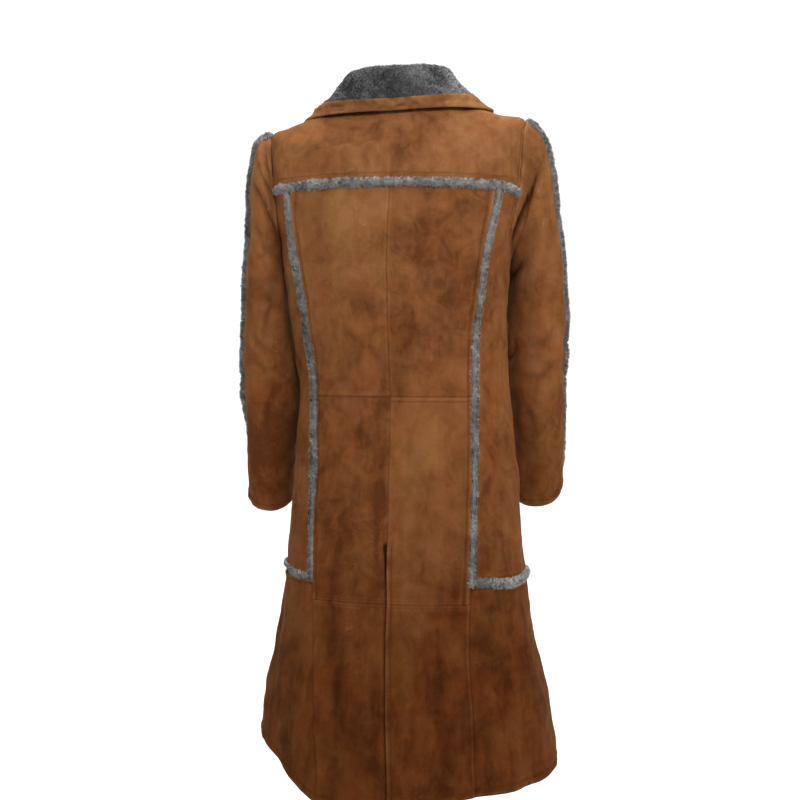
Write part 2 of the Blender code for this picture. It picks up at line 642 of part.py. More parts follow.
def trims():
    yoke_row, hip_row = RINGS["yoke"], RINGS["hip_trim"]
    half = back_columns(yoke_row)[:-1]
    across = [-angle for angle in reversed(half)] + half[1:]
    ring_trim("trim_yoke", across, yoke_row)
    clear = TRIM_WIDTH / 2.0 + TRIM_CLEARANCE
    for side, hand in ((1, "left"), (-1, "right")):
        princess = BODY[yoke_row].princess
        step_down = clear / (body_point(princess, yoke_row + 1) - body_point(princess, yoke_row)).length
        step_past = clear / (body_point(princess, hip_row + 1) - body_point(princess, hip_row)).length
        seam_trim(f"trim_back_{hand}", side, yoke_row + step_down, hip_row + step_past)
        columns = back_columns(hip_row)
        start = columns[BACK_STEPS] + degrees_for(clear, hip_row)
        round_hip = [start] + columns[BACK_STEPS + 1:] + front_columns(hip_row)[1:HIP_TRIM_FRONT + 1]
        ring_trim(f"trim_hip_{hand}", [side * angle for angle in round_hip], hip_row)
        sleeve_trim(f"trim_sleeve_{hand}", side)


def sleeve_trim(name, side):
    """Piping down the sleeve's outer seam, from the shoulder to the cuff."""
    top = RINGS["tip"]
    path = []
    for station in range(STATIONS + 1):
        stations = []
        for back in (True, None, False):
            face = bool(back)
            start = sleeve_point(side, True, top, station)
            if back is None:
                stations.append((start, sleeve_normal(side, True, top, station)))
                continue
            beside = sleeve_point(side, face, top + 1, station)
            share = TRIM_WIDTH / 2.0 / (beside - start).length
            stations.append((start.lerp(beside, share) if share <= 1.0 else beside,
                             sleeve_normal(side, face, top + min(1.0, share), station)))
        path.append(stations)
    for index, neighbour in ((0, 1), (-1, -2)):
        path[index] = [(point + (other - point).normalized() * TRIM_INSET, normal)
                       for (point, normal), (other, _) in zip(path[index], path[neighbour])]
    return trim(name, path)


# ---- collar and buttons ------------------------------------------------------------------------

def collar_section(folds, degrees):
    angle = math.radians(degrees)
    seat = body_point(degrees, 0)
    middle = stand(Vector((0.0, 0.0, seat.z)))
    outward = Vector((seat.x - middle.x, seat.y - middle.y, 0.0)).normalized()
    section = []
    for fold in folds:
        out = by_side(fold.out_back, fold.out_side, fold.out_front, angle)
        up = by_side(fold.up_back, fold.up_side, fold.up_front, angle)
        section.append(seat + outward * out + Vector((0.0, 0.0, up - SHOULDER_TILT * outward.x * out)))
    return section


def collar():
    angles = [-COLLAR_END + 2.0 * COLLAR_END * step / COLLAR_STEPS for step in range(COLLAR_STEPS + 1)]
    loft("collar_fur", [collar_section(COLLAR, degrees) for degrees in angles], FUR)
    loft("collar_band", [collar_section(BAND, degrees) for degrees in angles], SUEDE)


def row_at_height(height):
    """The position down the rings at a height of the centre front."""
    heights = [ring.z_front for ring in BODY]
    for row in range(len(heights) - 1):
        if heights[row + 1] <= height:
            return row + (height - heights[row]) / (heights[row + 1] - heights[row])
    return len(heights) - 1.0


def buttons():
    turns = [2.0 * math.pi * step / BUTTON_SIDES for step in range(BUTTON_SIDES)]
    for number, height in enumerate(BUTTON_HEIGHTS, 1):
        row = row_at_height(height)
        seat, normal = body_facet(lambda at: 180.0, row)
        seat = seat + normal * (overlap_lift(180.0) + TRIM_CLEARANCE)
        across = normal.cross(Vector((0.0, 0.0, 1.0))).normalized()
        up = across.cross(normal).normalized()
        sections = []
        for radius, rise in ((BUTTON_RADIUS - BUTTON_BEVEL, 0.0), (BUTTON_RADIUS, BUTTON_BEVEL),
                             (BUTTON_RADIUS, BUTTON_THICKNESS - BUTTON_BEVEL),
                             (BUTTON_RADIUS - BUTTON_BEVEL, BUTTON_THICKNESS)):
            sections.append([seat + normal * rise + across * radius * math.cos(turn)
                             + up * radius * math.sin(turn) for turn in turns])
        loft(f"button_{number}", sections, HORN)


def main():
    for existing in list(bpy.data.objects):
        bpy.data.objects.remove(existing, do_unlink=True)
    body_panels()
    sleeves()
    trims()
    collar()
    buttons()


main()
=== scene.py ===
"""Looks of the long suede coat: suede panels with their seams, creases and fleece, fur and buttons.

Metres, +Z up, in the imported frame: the front faces -Y and the wearer's left is +X. The two surfaces
that the panels are cut from, the body's stack of rings and each sleeve's run of rings, are worked
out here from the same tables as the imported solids, only finer, so every shell lies on its solid.
"""

import functools
import math
from collections import namedtuple

import bpy
import numpy as np
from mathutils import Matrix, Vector


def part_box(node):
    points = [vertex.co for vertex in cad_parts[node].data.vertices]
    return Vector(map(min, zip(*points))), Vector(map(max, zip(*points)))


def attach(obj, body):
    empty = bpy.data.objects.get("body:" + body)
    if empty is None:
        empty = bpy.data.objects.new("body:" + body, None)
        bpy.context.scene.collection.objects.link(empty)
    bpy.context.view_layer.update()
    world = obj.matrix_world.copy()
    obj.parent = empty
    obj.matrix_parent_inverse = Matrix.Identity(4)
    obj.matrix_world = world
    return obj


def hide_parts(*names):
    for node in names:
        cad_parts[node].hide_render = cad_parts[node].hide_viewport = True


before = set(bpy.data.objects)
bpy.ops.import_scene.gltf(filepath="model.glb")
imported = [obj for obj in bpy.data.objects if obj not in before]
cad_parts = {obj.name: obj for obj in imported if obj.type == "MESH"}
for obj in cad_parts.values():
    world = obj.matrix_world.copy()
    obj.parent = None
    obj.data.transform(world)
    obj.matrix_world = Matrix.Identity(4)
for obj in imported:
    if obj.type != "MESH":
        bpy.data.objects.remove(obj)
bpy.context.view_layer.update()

# ---- sizes -------------------------------------------------------------------------------------

WALL = 0.0030            # suede with its clipped fleece
GRID, FINE_GRID, COARSE_GRID = 0.0055, 0.0035, 0.0078    # spacing of a shell's points
EDGES = {"top": np.s_[0], "bottom": np.s_[-1], "first": np.s_[:, 0],
         "last": np.s_[:, -1]}    # each edge's place in a panel's grid
EDGE_STEPS = (0.0, 0.0010, 0.0022, 0.0036, 0.0054, 0.0076, 0.0094, 0.0112, 0.0135, 0.0160, 0.0190)
VENT_LEAN = 1.8          # degrees round the hem by which the vent has swung to the wearer's left
VENT_UNDERLAP = 0.0085   # how far the vent's left edge reaches beneath its right one
VENT_TUCK, TUCK_REACH = WALL + 0.0016, 0.0125    # how deep it lies there, and how softly it falls
LAP_START, LAP_FULL = 158.0, 169.0
FRONT_EDGE = 190.0       # degrees from the centre back to the edge of each front
LAP_LIFT = WALL + 0.0016
TRIM_WIDTH = 0.0140
COLLAR_END = 171.0

# ---- section tables, as in the solids ------------------------------------------------------------

Ring = namedtuple("Ring", "name z_back z_side z_front half_width back front boxy "
                          "princess arm_back arm_front")
BODY = [Ring(*row) for row in (
    # name        z_back   z_side   z_front  half_w  back    front   boxy  princess arm_b arm_f
    ("neckline",   0.010,   0.022,  -0.050,  0.0840, 0.0640, 0.0700, 2.00, 51.0,  90.0,  90.0),
    ("neck",      -0.012,   0.014,  -0.070,  0.1120, 0.0790, 0.0860, 2.00, 51.0,  90.0,  90.0),
    ("shoulder",  -0.034,   0.003,  -0.088,  0.1500, 0.0900, 0.0960, 2.10, 51.0,  90.0,  90.0),
    ("outer",     -0.055,  -0.008,  -0.104,  0.1830, 0.0970, 0.1040, 2.25, 51.0,  90.0,  90.0),
    ("tip",       -0.070,  -0.016,  -0.116,  0.2050, 0.1020, 0.1100, 2.40, 51.0,  90.0,  90.0),
    ("cap",       -0.082,  -0.034,  -0.126,  0.2090, 0.1050, 0.1140, 2.50, 51.0,  78.0, 102.0),
    ("blade",     -0.093,  -0.072,  -0.138,  0.2110, 0.1085, 0.1180, 2.55, 51.0,  72.5, 108.5),
    ("yoke",      -0.114,  -0.122,  -0.150,  0.2090, 0.1120, 0.1210, 2.55, 51.0,  70.5, 111.0),
    ("chest",     -0.147,  -0.152,  -0.170,  0.2040, 0.1170, 0.1260, 2.50, 52.0,  71.0, 111.0),
    ("bust",      -0.182,  -0.182,  -0.192,  0.1960, 0.1200, 0.1310, 2.45, 53.0,  75.0, 107.0),
    ("pit",       -0.206,  -0.204,  -0.210,  0.1910, 0.1200, 0.1330, 2.40, 53.0,  81.0, 100.0),
    ("underarm",  -0.222,  -0.222,  -0.224,  0.1880, 0.1190, 0.1340, 2.40, 53.0,  90.0,  90.0),
    ("rib",       -0.270,  -0.270,  -0.270,  0.1840, 0.1150, 0.1330, 2.35, 51.0,  90.0,  90.0),
    ("midriff",   -0.330,  -0.330,  -0.330,  0.1800, 0.1060, 0.1280, 2.30, 48.5,  90.0,  90.0),
    ("narrow",    -0.390,  -0.390,  -0.390,  0.1760, 0.0985, 0.1210, 2.30, 47.0,  90.0,  90.0),
    ("waist",     -0.454,  -0.454,  -0.454,  0.1755, 0.0960, 0.1150, 2.30, 46.0,  90.0,  90.0),
    ("high_hip",  -0.520,  -0.520,  -0.520,  0.1810, 0.1030, 0.1150, 2.30, 44.5,  90.0,  90.0),
    ("hip",       -0.600,  -0.600,  -0.600,  0.1880, 0.1150, 0.1190, 2.25, 42.5,  90.0,  90.0),
    ("vent",      -0.683,  -0.683,  -0.683,  0.1945, 0.1270, 0.1260, 2.25, 40.3,  90.0,  90.0),
    ("hip_trim",  -0.744,  -0.744,  -0.744,  0.2005, 0.1345, 0.1310, 2.20, 38.4,  90.0,  90.0),
    ("thigh",     -0.778,  -0.778,  -0.778,  0.2040, 0.1385, 0.1340, 2.20, 37.0,  90.0,  90.0),
    ("skirt",     -0.860,  -0.860,  -0.860,  0.2160, 0.1500, 0.1410, 2.20, 33.5,  90.0,  90.0),
    ("low_skirt", -0.950,  -0.945,  -0.945,  0.2350, 0.1660, 0.1510, 2.20, 30.8,  90.0,  90.0),
    ("hem",       -1.080,  -1.040,  -1.035,  0.2440, 0.1850, 0.1630, 2.20, 29.0,  90.0,  90.0),
)]
RINGS = {ring.name: index for index, ring in enumerate(BODY)}
RING = {field: np.array([getattr(ring, field) for ring in BODY]) for field in Ring._fields[1:]}
TIP, YOKE, UNDERARM, WAIST, VENT, HIP_TRIM, THIGH, HEM_ROW = (RINGS[name] for name in (
    "tip", "yoke", "underarm", "waist", "vent", "hip_trim", "thigh", "hem"))

# Height of the hem round the coat, by angle from the centre back, the wearer's left positive.
HEM = ((-180, -1.035), (-120, -1.045), (-90, -1.055), (-70, -1.061), (-50, -1.067), (-30, -1.068),
       (-15, -1.080), (0, -1.090), (15, -1.096), (30, -1.088), (50, -1.046), (70, -1.018),
       (90, -1.010), (120, -1.008), (180, -1.035))

# How the wearer stands: sideways lean, and the turn of the back towards the wearer's left.
STANCE = (
    # z       lean     turn
    (-1.080, -0.0250, 8.5),
    (-0.950, -0.0200, 9.8),
    (-0.840, -0.0165, 11.3),
    (-0.700, -0.0175, 13.7),
    (-0.550, -0.0170, 14.0),
    (-0.465, -0.0150, 13.5),
    (-0.390, -0.0090, 11.5),
    (-0.330, -0.0050, 9.5),
    (-0.220, -0.0030, 8.0),
    (-0.100, -0.0070, 7.5),
    (-0.040, -0.0050, 6.5),
    (0.080, -0.0060, 6.0),
)
STANCE_BLUR = 0.022      # half of the height over which the stance table is averaged
SHOULDER_TILT, TILT_TOP, TILT_BOTTOM = 0.045, -0.020, -0.110

# Soft flutes that the skirt falls into, each a trough that deepens down to the hem.
FLUTES = (
    # degrees half_w depth   top ring
    (-148.0, 11.0, 0.0060, "hip_trim"),
    (-118.0, 15.0, 0.0080, "thigh"),
    (-57.0, 13.0, 0.0050, "thigh"),
    (-19.0, 12.0, 0.0045, "skirt"),
    (20.0, 13.0, 0.0060, "thigh"),
    (58.0, 14.0, 0.0070, "hip_trim"),
    (121.0, 16.0, 0.0090, "thigh"),
    (147.0, 11.0, 0.0055, "skirt"),
)

# Each sleeve's rings after the armhole: the ends of the ring on the arm's two sides, its middle
# from back to front, how far behind that the inner end lies, its half depth, how much lower its back is,
# and the turn of the piped seam.
SLEEVES = {1: np.array((
    # outer_x outer_z  inner_x inner_z  y       reach   depth   drop   turn
    (0.2230, -0.0400, 0.1875, -0.2290,  0.000, -0.024, 0.0580, 0.000,  3.0),
    (0.2300, -0.0620, 0.1860, -0.2380,  0.000, -0.034, 0.0630, 0.000,  5.0),
    (0.2350, -0.0950, 0.1855, -0.2500, -0.002, -0.040, 0.0660, 0.000,  6.0),
    (0.2385, -0.1350, 0.1830, -0.2660, -0.005, -0.043, 0.0680, 0.000,  7.0),
    (0.2410, -0.1850, 0.1800, -0.2860, -0.009, -0.044, 0.0690, 0.002,  8.0),
    (0.2430, -0.2400, 0.1775, -0.3100, -0.012, -0.044, 0.0680, 0.004,  8.0),
    (0.2460, -0.3000, 0.1735, -0.3400, -0.014, -0.044, 0.0660, 0.006,  9.0),
    (0.2500, -0.3580, 0.1670, -0.3760, -0.018, -0.042, 0.0630, 0.010, 10.0),
    (0.2500, -0.4150, 0.1610, -0.4200, -0.028, -0.034, 0.0600, 0.018, 12.0),
    (0.2490, -0.4750, 0.1585, -0.4750, -0.046, -0.022, 0.0570, 0.024, 17.0),
    (0.2500, -0.5350, 0.1635, -0.5350, -0.070, -0.010, 0.0540, 0.026, 24.0),
    (0.2515, -0.5850, 0.1685, -0.5850, -0.090, -0.004, 0.0510, 0.026, 31.0),
    (0.2530, -0.6290, 0.1735, -0.6290, -0.107, -0.001, 0.0490, 0.026, 36.0),
)), -1: np.array((
    # outer_x outer_z  inner_x inner_z  y       reach   depth   drop   turn
    (0.2330, -0.0240, 0.1960, -0.2290,  0.000, -0.010, 0.0580, 0.000,  0.0),
    (0.2450, -0.0450, 0.1940, -0.2380,  0.000, -0.022, 0.0630, 0.000,  0.0),
    (0.2540, -0.0780, 0.1924, -0.2500,  0.000, -0.033, 0.0660, 0.000,  0.0),
    (0.2610, -0.1200, 0.1900, -0.2660, -0.002, -0.040, 0.0670, 0.000,  0.0),
    (0.2680, -0.1730, 0.1880, -0.2860, -0.004, -0.041, 0.0670, 0.002,  1.0),
    (0.2740, -0.2330, 0.1860, -0.3100, -0.006, -0.041, 0.0650, 0.004,  2.0),
    (0.2780, -0.2950, 0.1850, -0.3400, -0.008, -0.041, 0.0630, 0.006,  3.0),
    (0.2810, -0.3580, 0.1845, -0.3760, -0.012, -0.039, 0.0600, 0.010,  4.0),
    (0.2797, -0.4150, 0.1865, -0.4200, -0.022, -0.032, 0.0570, 0.018,  8.0),
    (0.2810, -0.4750, 0.1920, -0.4750, -0.040, -0.020, 0.0540, 0.024, 13.0),
    (0.2840, -0.5350, 0.2000, -0.5350, -0.064, -0.008, 0.0510, 0.026, 19.5),
    (0.2860, -0.5850, 0.2020, -0.5800, -0.084, -0.003, 0.0480, 0.026, 26.0),
    (0.2870, -0.6120, 0.2030, -0.6280, -0.100,  0.000, 0.0460, 0.026, 30.0),
))}
STATIONS = len(SLEEVES[1])
AROUND = UNDERARM - TIP  # from the sleeve's piped seam (0) to its inner one, over the back (+)

# The collar's and its band's closed sections: out and up from the neckline at back, side, front.
COLLAR = (
    # out_back up_back  out_side up_side  out_front up_front
    (-0.0045, -0.0040, -0.0045, 0.0000, -0.0045, 0.0060),  # stand, inner bottom
    (-0.0080, 0.0340, -0.0110, 0.0280, -0.0070, 0.0300),
    (-0.0060, 0.0600, -0.0130, 0.0510, -0.0060, 0.0500),
    (0.0010, 0.0690, -0.0080, 0.0575, 0.0010, 0.0560),     # top of the fold
    (0.0100, 0.0650, 0.0025, 0.0525, 0.0100, 0.0510),
    (0.0160, 0.0500, 0.0140, 0.0360, 0.0220, 0.0280),
    (0.0190, 0.0310, 0.0270, 0.0205, 0.0340, 0.0000),
    (0.0200, 0.0135, 0.0400, 0.0085, 0.0450, -0.0300),    # edge of the fall
    (0.0120, 0.0130, 0.0345, 0.0035, 0.0380, -0.0290),
    (0.0105, 0.0300, 0.0230, 0.0125, 0.0260, -0.0040),
    (0.0080, 0.0440, 0.0120, 0.0245, 0.0120, 0.0200),      # throat between fall and stand
    (0.0055, 0.0250, 0.0070, 0.0150, 0.0060, 0.0150),
    (0.0010, -0.0040, 0.0030, 0.0000, 0.0045, 0.0060),     # stand, outer bottom
)
BAND = (
    (0.0125, 0.0125, 0.0352, 0.0030, 0.0388, -0.0295),    # inner top
    (0.0185, 0.0130, 0.0405, 0.0079, 0.0455, -0.0306),    # outer top
    (0.0195, 0.0085, 0.0510, 0.0008, 0.0490, -0.0380),
    (0.0160, 0.0010, 0.0620, -0.0085, 0.0530, -0.0470),
    (0.0110, -0.0050, 0.0725, -0.0170, 0.0540, -0.0530),   # outer bottom
    (0.0070, -0.0055, 0.0695, -0.0205, 0.0490, -0.0530),   # inner bottom
    (0.0095, 0.0015, 0.0540, -0.0090, 0.0440, -0.0410),
)


# ---- numbers and smooth fields -------------------------------------------------------------------

def smooth_step(low, high, value):
    share = np.clip((value - low) / (high - low), 0.0, 1.0)
    return share * share * (3.0 - 2.0 * share)


def unit(vectors):
    return vectors / np.maximum(np.linalg.norm(vectors, axis=-1, keepdims=True), 1e-12)


def smooth_point(before, start, end, after, share):
    """The smooth curve's point at a share of the way from start to end."""
    return 0.5 * (2.0 * start + (end - before) * share
                  + (2.0 * before - 5.0 * start + 4.0 * end - after) * share ** 2
                  + (3.0 * start - before - 3.0 * end + after) * share ** 3)


def spline(values, position):
    """The smooth curve through evenly counted values, read at positions between them."""
    values, position = np.asarray(values, float), np.asarray(position, float)
    last = len(values) - 1
    index = np.clip(np.floor(position).astype(int), 0, last - 1)
    share = position - index
    if values.ndim > 1:
        share = share[..., None]
    ends = np.concatenate([[2.0 * values[0] - values[1]], values, [2.0 * values[-1] - values[-2]]])
    before, start, end, after = (ends[index + step] for step in range(4))
    return smooth_point(before, start, end, after, share)


def waves(wavelength, seed, count=22):
    """Directions and phases of the waves that ripple and ripple_slope add up."""
    draw = np.random.default_rng(seed)
    ways = unit(draw.normal(size=(count, 3)))
    steepness = 2.0 * math.pi / (wavelength * draw.uniform(0.75, 1.35, (count, 1)))
    return ways * steepness, draw.uniform(0.0, 2.0 * math.pi, count)


def ripple(points, wavelength, seed):
    """A smooth uneven field over points in space, near 0 on average and mostly within 1."""
    ways, phases = waves(wavelength, seed)
    return np.sin(points @ ways.T + phases).sum(-1) * (1.4 / math.sqrt(2.0 * len(phases)))


def ripple_slope(points, wavelength, seed):
    """Which way ripple rises at the points, about 1 long where it is steep."""
    ways, phases = waves(wavelength, seed)
    slope = np.cos(points @ ways.T + phases) @ ways
    return slope * (wavelength / (2.0 * math.pi) / math.sqrt(len(phases)))


# ---- the body's surface --------------------------------------------------------------------------

def by_side(back, side, front, cosine, power=2.0):
    """Blends a value known at the back, sides and front round the ring."""
    return side + (np.where(cosine > 0.0, back, front) - side) * np.abs(cosine) ** power


def stance(height, column):
    """The stance table at a height, averaged over a little height so that no kink is left."""
    table = np.array(STANCE)
    offsets = np.linspace(-STANCE_BLUR, STANCE_BLUR, 5)
    read = (np.interp(height + offset, table[:, 0], table[:, column]) for offset in offsets)
    return sum(read) / len(offsets)


def stand(points):
    """Puts points of the upright, even coat into the wearer's stance."""
    x, y, z = points[..., 0], points[..., 1], points[..., 2]
    turn = -np.radians(stance(z, 2))
    tilt = SHOULDER_TILT * smooth_step(TILT_BOTTOM, TILT_TOP, z)
    return np.stack([x * np.cos(turn) - y * np.sin(turn) + stance(z, 1),
                     x * np.sin(turn) + y * np.cos(turn), z - tilt * x], -1)


def flute_depth(degrees, row):
    depth = 0.0
    for middle, half_width, deepest, top in FLUTES:
        away = np.abs((degrees - middle + 180.0) % 360.0 - 180.0) / half_width
        shape = np.where(away < 1.0, np.cos(np.minimum(away, 1.0) * math.pi / 2.0) ** 2, 0.0)
        depth = depth + deepest * shape * smooth_step(RINGS[top], len(BODY) - 1, row)
    return depth


def body(degrees, row):
    """The coat's outside at an angle from the centre back, wearer's left positive."""
    degrees, row = np.broadcast_arrays(np.asarray(degrees, float), np.asarray(row, float))
    sine, cosine = np.sin(np.radians(degrees)), np.cos(np.radians(degrees))
    power = 2.0 / spline(RING["boxy"], row)
    depth = np.where(cosine > 0.0, spline(RING["back"], row), spline(RING["front"], row))
    x = spline(RING["half_width"], row) * np.sign(sine) * np.abs(sine) ** power
    y = depth * np.sign(cosine) * np.abs(cosine) ** power
    z = by_side(*(spline(RING[name], row) for name in ("z_back", "z_side", "z_front")), cosine)
    last = len(BODY) - 1
    wrapped = (degrees + 180.0) % 360.0 - 180.0
    even = by_side(BODY[-1].z_back, BODY[-1].z_side, BODY[-1].z_front, cosine)
    z = z + (np.interp(wrapped, *np.array(HEM).T) - even) * np.clip(row - last + 1.0, 0.0, 1.0)
    drawn_in = 1.0 - flute_depth(degrees, row) / np.maximum(np.hypot(x, y), 1e-6)
    return stand(np.stack([x * drawn_in, y * drawn_in, z], -1))


def body_normal(degrees, row):
    last = len(BODY) - 1
    around = body(degrees + 1.5, row) - body(degrees - 1.5, row)
    down = body(degrees, np.minimum(row + 0.2, last)) - body(degrees, np.maximum(row - 0.2, 0.0))
    return unit(np.cross(around, down))


def princess(row):
    return spline(RING["princess"], row)


def arm_back(row):
    return np.minimum(spline(RING["arm_back"], row), 90.0)


def arm_front(row):
    return np.maximum(spline(RING["arm_front"], row), 90.0)


def vent_share(row):
    """0 down the centre-back seam and 1 down the vent below it."""
    return smooth_step(VENT, VENT + 0.5, row)


def vent_edge(side, row):
    """The angle at which a back panel stops: the left one reaches beneath the right at the vent."""
    lean = VENT_LEAN * np.maximum(0.0, row - THIGH) / (HEM_ROW - THIGH)
    under = np.degrees(VENT_UNDERLAP / spline(RING["half_width"], row)) * vent_share(row)
    return side * lean - (under if side > 0 else 0.0)


def vent_tuck(panel):
    """How far the left back panel sinks to lie beneath the right one at the vent."""
    share = vent_share(panel.along)
    under = VENT_UNDERLAP * share
    return -VENT_TUCK * share * (1.0 - smooth_step(under, under + TUCK_REACH, panel.edge["first"]))


# ---- the sleeves' surface ------------------------------------------------------------------------

def arm_turn(row):
    """How far round the armhole a ring meets it: 0 at the shoulder tip, pi at the underarm."""
    heights = RING["z_side"]
    share = (heights[TIP] - spline(heights, row)) / (heights[TIP] - heights[UNDERARM])
    return np.arccos(np.clip(1.0 - 2.0 * share, -1.0, 1.0))


def sleeve(side, around, station):
    """A sleeve's outside: around from its piped seam, over the back (+) or the front (-)."""
    around, station = np.broadcast_arrays(np.asarray(around, float), np.asarray(station, float))
    around = (around + AROUND) % (2.0 * AROUND) - AROUND
    row, back = TIP + np.abs(around), around >= 0.0
    armhole = body(side * np.where(back, arm_back(row), arm_front(row)), row)
    turn = arm_turn(row)
    controls = [armhole]
    for outer_x, outer_z, inner_x, inner_z, y, reach, depth, drop, swing in SLEEVES[side]:
        angle = turn * np.where(back, 1.0, -1.0) - math.radians(swing) * np.cos(turn / 2.0) ** 2
        cosine, sine = np.cos(angle), np.sin(angle)
        x = (outer_x + inner_x) / 2.0 + (outer_x - inner_x) / 2.0 * cosine
        z = (outer_z + inner_z) / 2.0 + (outer_z - inner_z) / 2.0 * cosine - drop * sine
        forward = y + reach * (1.0 - cosine) / 2.0 + depth * sine
        controls.append(np.stack([side * x, forward, z], -1))
    controls = np.stack(controls)
    last = STATIONS
    index = np.clip(np.floor(station).astype(int), 0, last - 1)
    share = (station - index)[..., None]

    def pick(offset):
        return np.take_along_axis(controls, np.clip(index + offset, 0, last)[None, ..., None], 0)[0]

    start, end = pick(0), pick(1)
    before = np.where((index == 0)[..., None], 2.0 * start - end, pick(-1))
    after = np.where((index == last - 1)[..., None], 2.0 * end - start, pick(2))
    return smooth_point(before, start, end, after, share)


def sleeve_normal(side, around, station):
    step = 0.12
    ring = sleeve(side, around + step, station) - sleeve(side, around - step, station)
    run = (sleeve(side, around, np.minimum(station + 0.2, STATIONS))
           - sleeve(side, around, np.maximum(station - 0.2, 0.0)))
    return unit(np.cross(run, ring)) * side


def armhole_normal(side, around):
    """The direction midway between the body's and the sleeve's outsides along the armhole."""
    around = (around + AROUND) % (2.0 * AROUND) - AROUND
    row = TIP + np.abs(around)
    edge = side * np.where(around >= 0.0, arm_back(row), arm_front(row))
    return unit(body_normal(edge, row) + sleeve_normal(side, around, np.zeros_like(row)))


# ---- panels --------------------------------------------------------------------------------------

def spaced(length, grid):
    """Distances along a length: close together near its ends, and evenly apart between."""
    reach = EDGE_STEPS[-1]
    near = np.array(EDGE_STEPS) * min(1.0, length / (2.4 * reach))
    last = length - near[::-1]
    count = max(2, int(round((last[0] - near[-1]) / grid)))
    middle = np.linspace(near[-1], last[0], count + 1)[1:-1]
    return np.concatenate([near, middle, last])


def lengths(points, axis):
    """How far each point lies from the first one, along one axis of a grid of points."""
    steps = np.linalg.norm(np.diff(points, axis=axis), axis=-1)
    zero = np.zeros_like(np.take(steps, [0], axis))
    return np.cumsum(np.concatenate([zero, steps], axis), axis)


class Panel:
    """A grid of points on one surface between two edge lines, with how far each is from its edges.

    surface and facing give points and normals at (across, along); first and last give the edge
    lines' across at each along; start and stop are the ends of along.
    """

    def __init__(self, name, surface, facing, first, last, start, stop, grid=GRID):
        self.name, self.surface, self.facing = name, surface, facing
        fine = np.linspace(start, stop, 241)
        spine = surface((first(fine) + last(fine)) / 2.0, fine)
        run = lengths(spine[:, None], 0)[:, 0]
        along = np.interp(spaced(run[-1], grid), run, fine)
        shares = np.linspace(0.0, 1.0, 97)
        lines = first(along)[:, None] + (last(along) - first(along))[:, None] * shares
        reach = lengths(surface(lines, along[:, None]), 1)
        places = spaced(reach[:, -1].mean(), grid) / reach[:, -1].mean()
        near = np.array(EDGE_STEPS)
        self.across = np.empty((len(along), len(places)))
        for row, total in enumerate(reach[:, -1]):
            at = places * total
            scale = min(1.0, total / (2.4 * near[-1]))
            at[:len(near)] = near * scale
            at[-len(near):] = total - near[::-1] * scale
            middle = slice(len(near) - 1, len(places) - len(near) + 1)
            at[middle] = np.linspace(at[middle][0], at[middle][-1], len(at[middle]))
            self.across[row] = np.interp(at, reach[row], lines[row])
        self.along = np.repeat(along[:, None], len(places), 1)
        self.points = surface(self.across, self.along)
        self.normals = facing(self.across, self.along)
        columns, rows = lengths(self.points, 1), lengths(self.points, 0)
        self.edge = {"first": columns, "last": columns[:, -1:] - columns,
                     "top": rows, "bottom": rows[-1:] - rows}
        self.width, self.length = float(columns[:, -1].max()), float(rows[-1].max())
        sides = np.cross(self.points[1:, :-1] - self.points[:-1, :-1],
                         self.points[:-1, 1:] - self.points[:-1, :-1])
        self.area = float(np.linalg.norm(sides, axis=-1).sum())


# ---- seams ---------------------------------------------------------------------------------------

def band(distance, start, stop, soft=0.0010):
    """1 between two distances from an edge and 0 elsewhere, with soft sides."""
    return (smooth_step(start - soft, start + soft, distance)
            * (1.0 - smooth_step(stop - soft, stop + soft, distance)))


def groove(distance, middle, half_width):
    return np.exp(-((distance - middle) / half_width) ** 2)


SEAM_DIP = 0.0008        # how deep a seam lies, or less where it is shaded little

# How each kind of edge shapes the panel beside it, by distance from the edge: "rise" is the height
# of the allowance or roll, from "start" to "stop"; "stitch" is where its topstitching runs, or 0;
# "dip" is how wide the valley at the edge is; the column after it is how much paler its brow is
# rubbed, which also sets the painted shade along its stitching; and "shade" is how much painted
# shade darkens the edge itself.
Seam = namedtuple("Seam", "rise start stop stitch dip worn shade")
SEAMS = {
    "centre": Seam(0.0003, 0.0010, 0.0042, 0.0, 0.0008, 0.06, 0.05),
    "plain": Seam(0.0003, 0.0030, 0.0080, 0.0, 0.0013, 0.10, 0.16),
    "lapped": Seam(0.0005, 0.0012, 0.0092, 0.0075, 0.0008, 0.17, 0.12),
    "faint": Seam(0.0003, 0.0012, 0.0080, 0.0, 0.0006, 0.26, 0.035),
    "under": Seam(0.0000, 0.0030, 0.0060, 0.0, 0.0018, 0.00, 0.14),
    "piped": Seam(0.0018, 0.0040, 0.0122, 0.0108, 0.0030, 0.55, 0.20),
    "piped_under": Seam(0.0006, 0.0060, 0.0110, 0.0, 0.0040, 0.16, 0.30),
    "yoke": Seam(0.0014, 0.0040, 0.0168, 0.0152, 0.0030, 0.25, 0.20),
    "armhole": Seam(0.0012, 0.0020, 0.0078, 0.0066, 0.0014, 0.40, 0.60),
    "sleeve_head": Seam(0.0014, 0.0030, 0.0100, 0.0, 0.0016, 0.30, 0.60),
    "turned": Seam(0.0008, 0.0015, 0.0125, 0.0115, 0.0009, 0.34, 0.0),
    "vent": Seam(0.0011, 0.0006, 0.0090, 0.0080, 0.0006, 0.45, 0.0),
    "vent_under": Seam(0.0004, 0.0150, 0.0225, 0.0, 0.0010, 0.12, 0.0),
    "none": Seam(0.0000, 0.0, 0.0, 0.0, 0.0020, 0.00, 0.0),
}
# painted shade along lines of stitching, scaled by how much the seam's brow is rubbed
STITCH_SHADE = 1.4       # how much darker a line of stitching is, for how worn its seam is

# How many times further out the stitching of the piped seams runs, by ring.
PIPED_SPREAD = ((7.0, 1.75), (12.0, 1.25), (15.0, 1.0))


def seam_spread(kind, along):
    return np.interp(along, *np.array(PIPED_SPREAD).T) if kind == "piped" else np.ones_like(along)


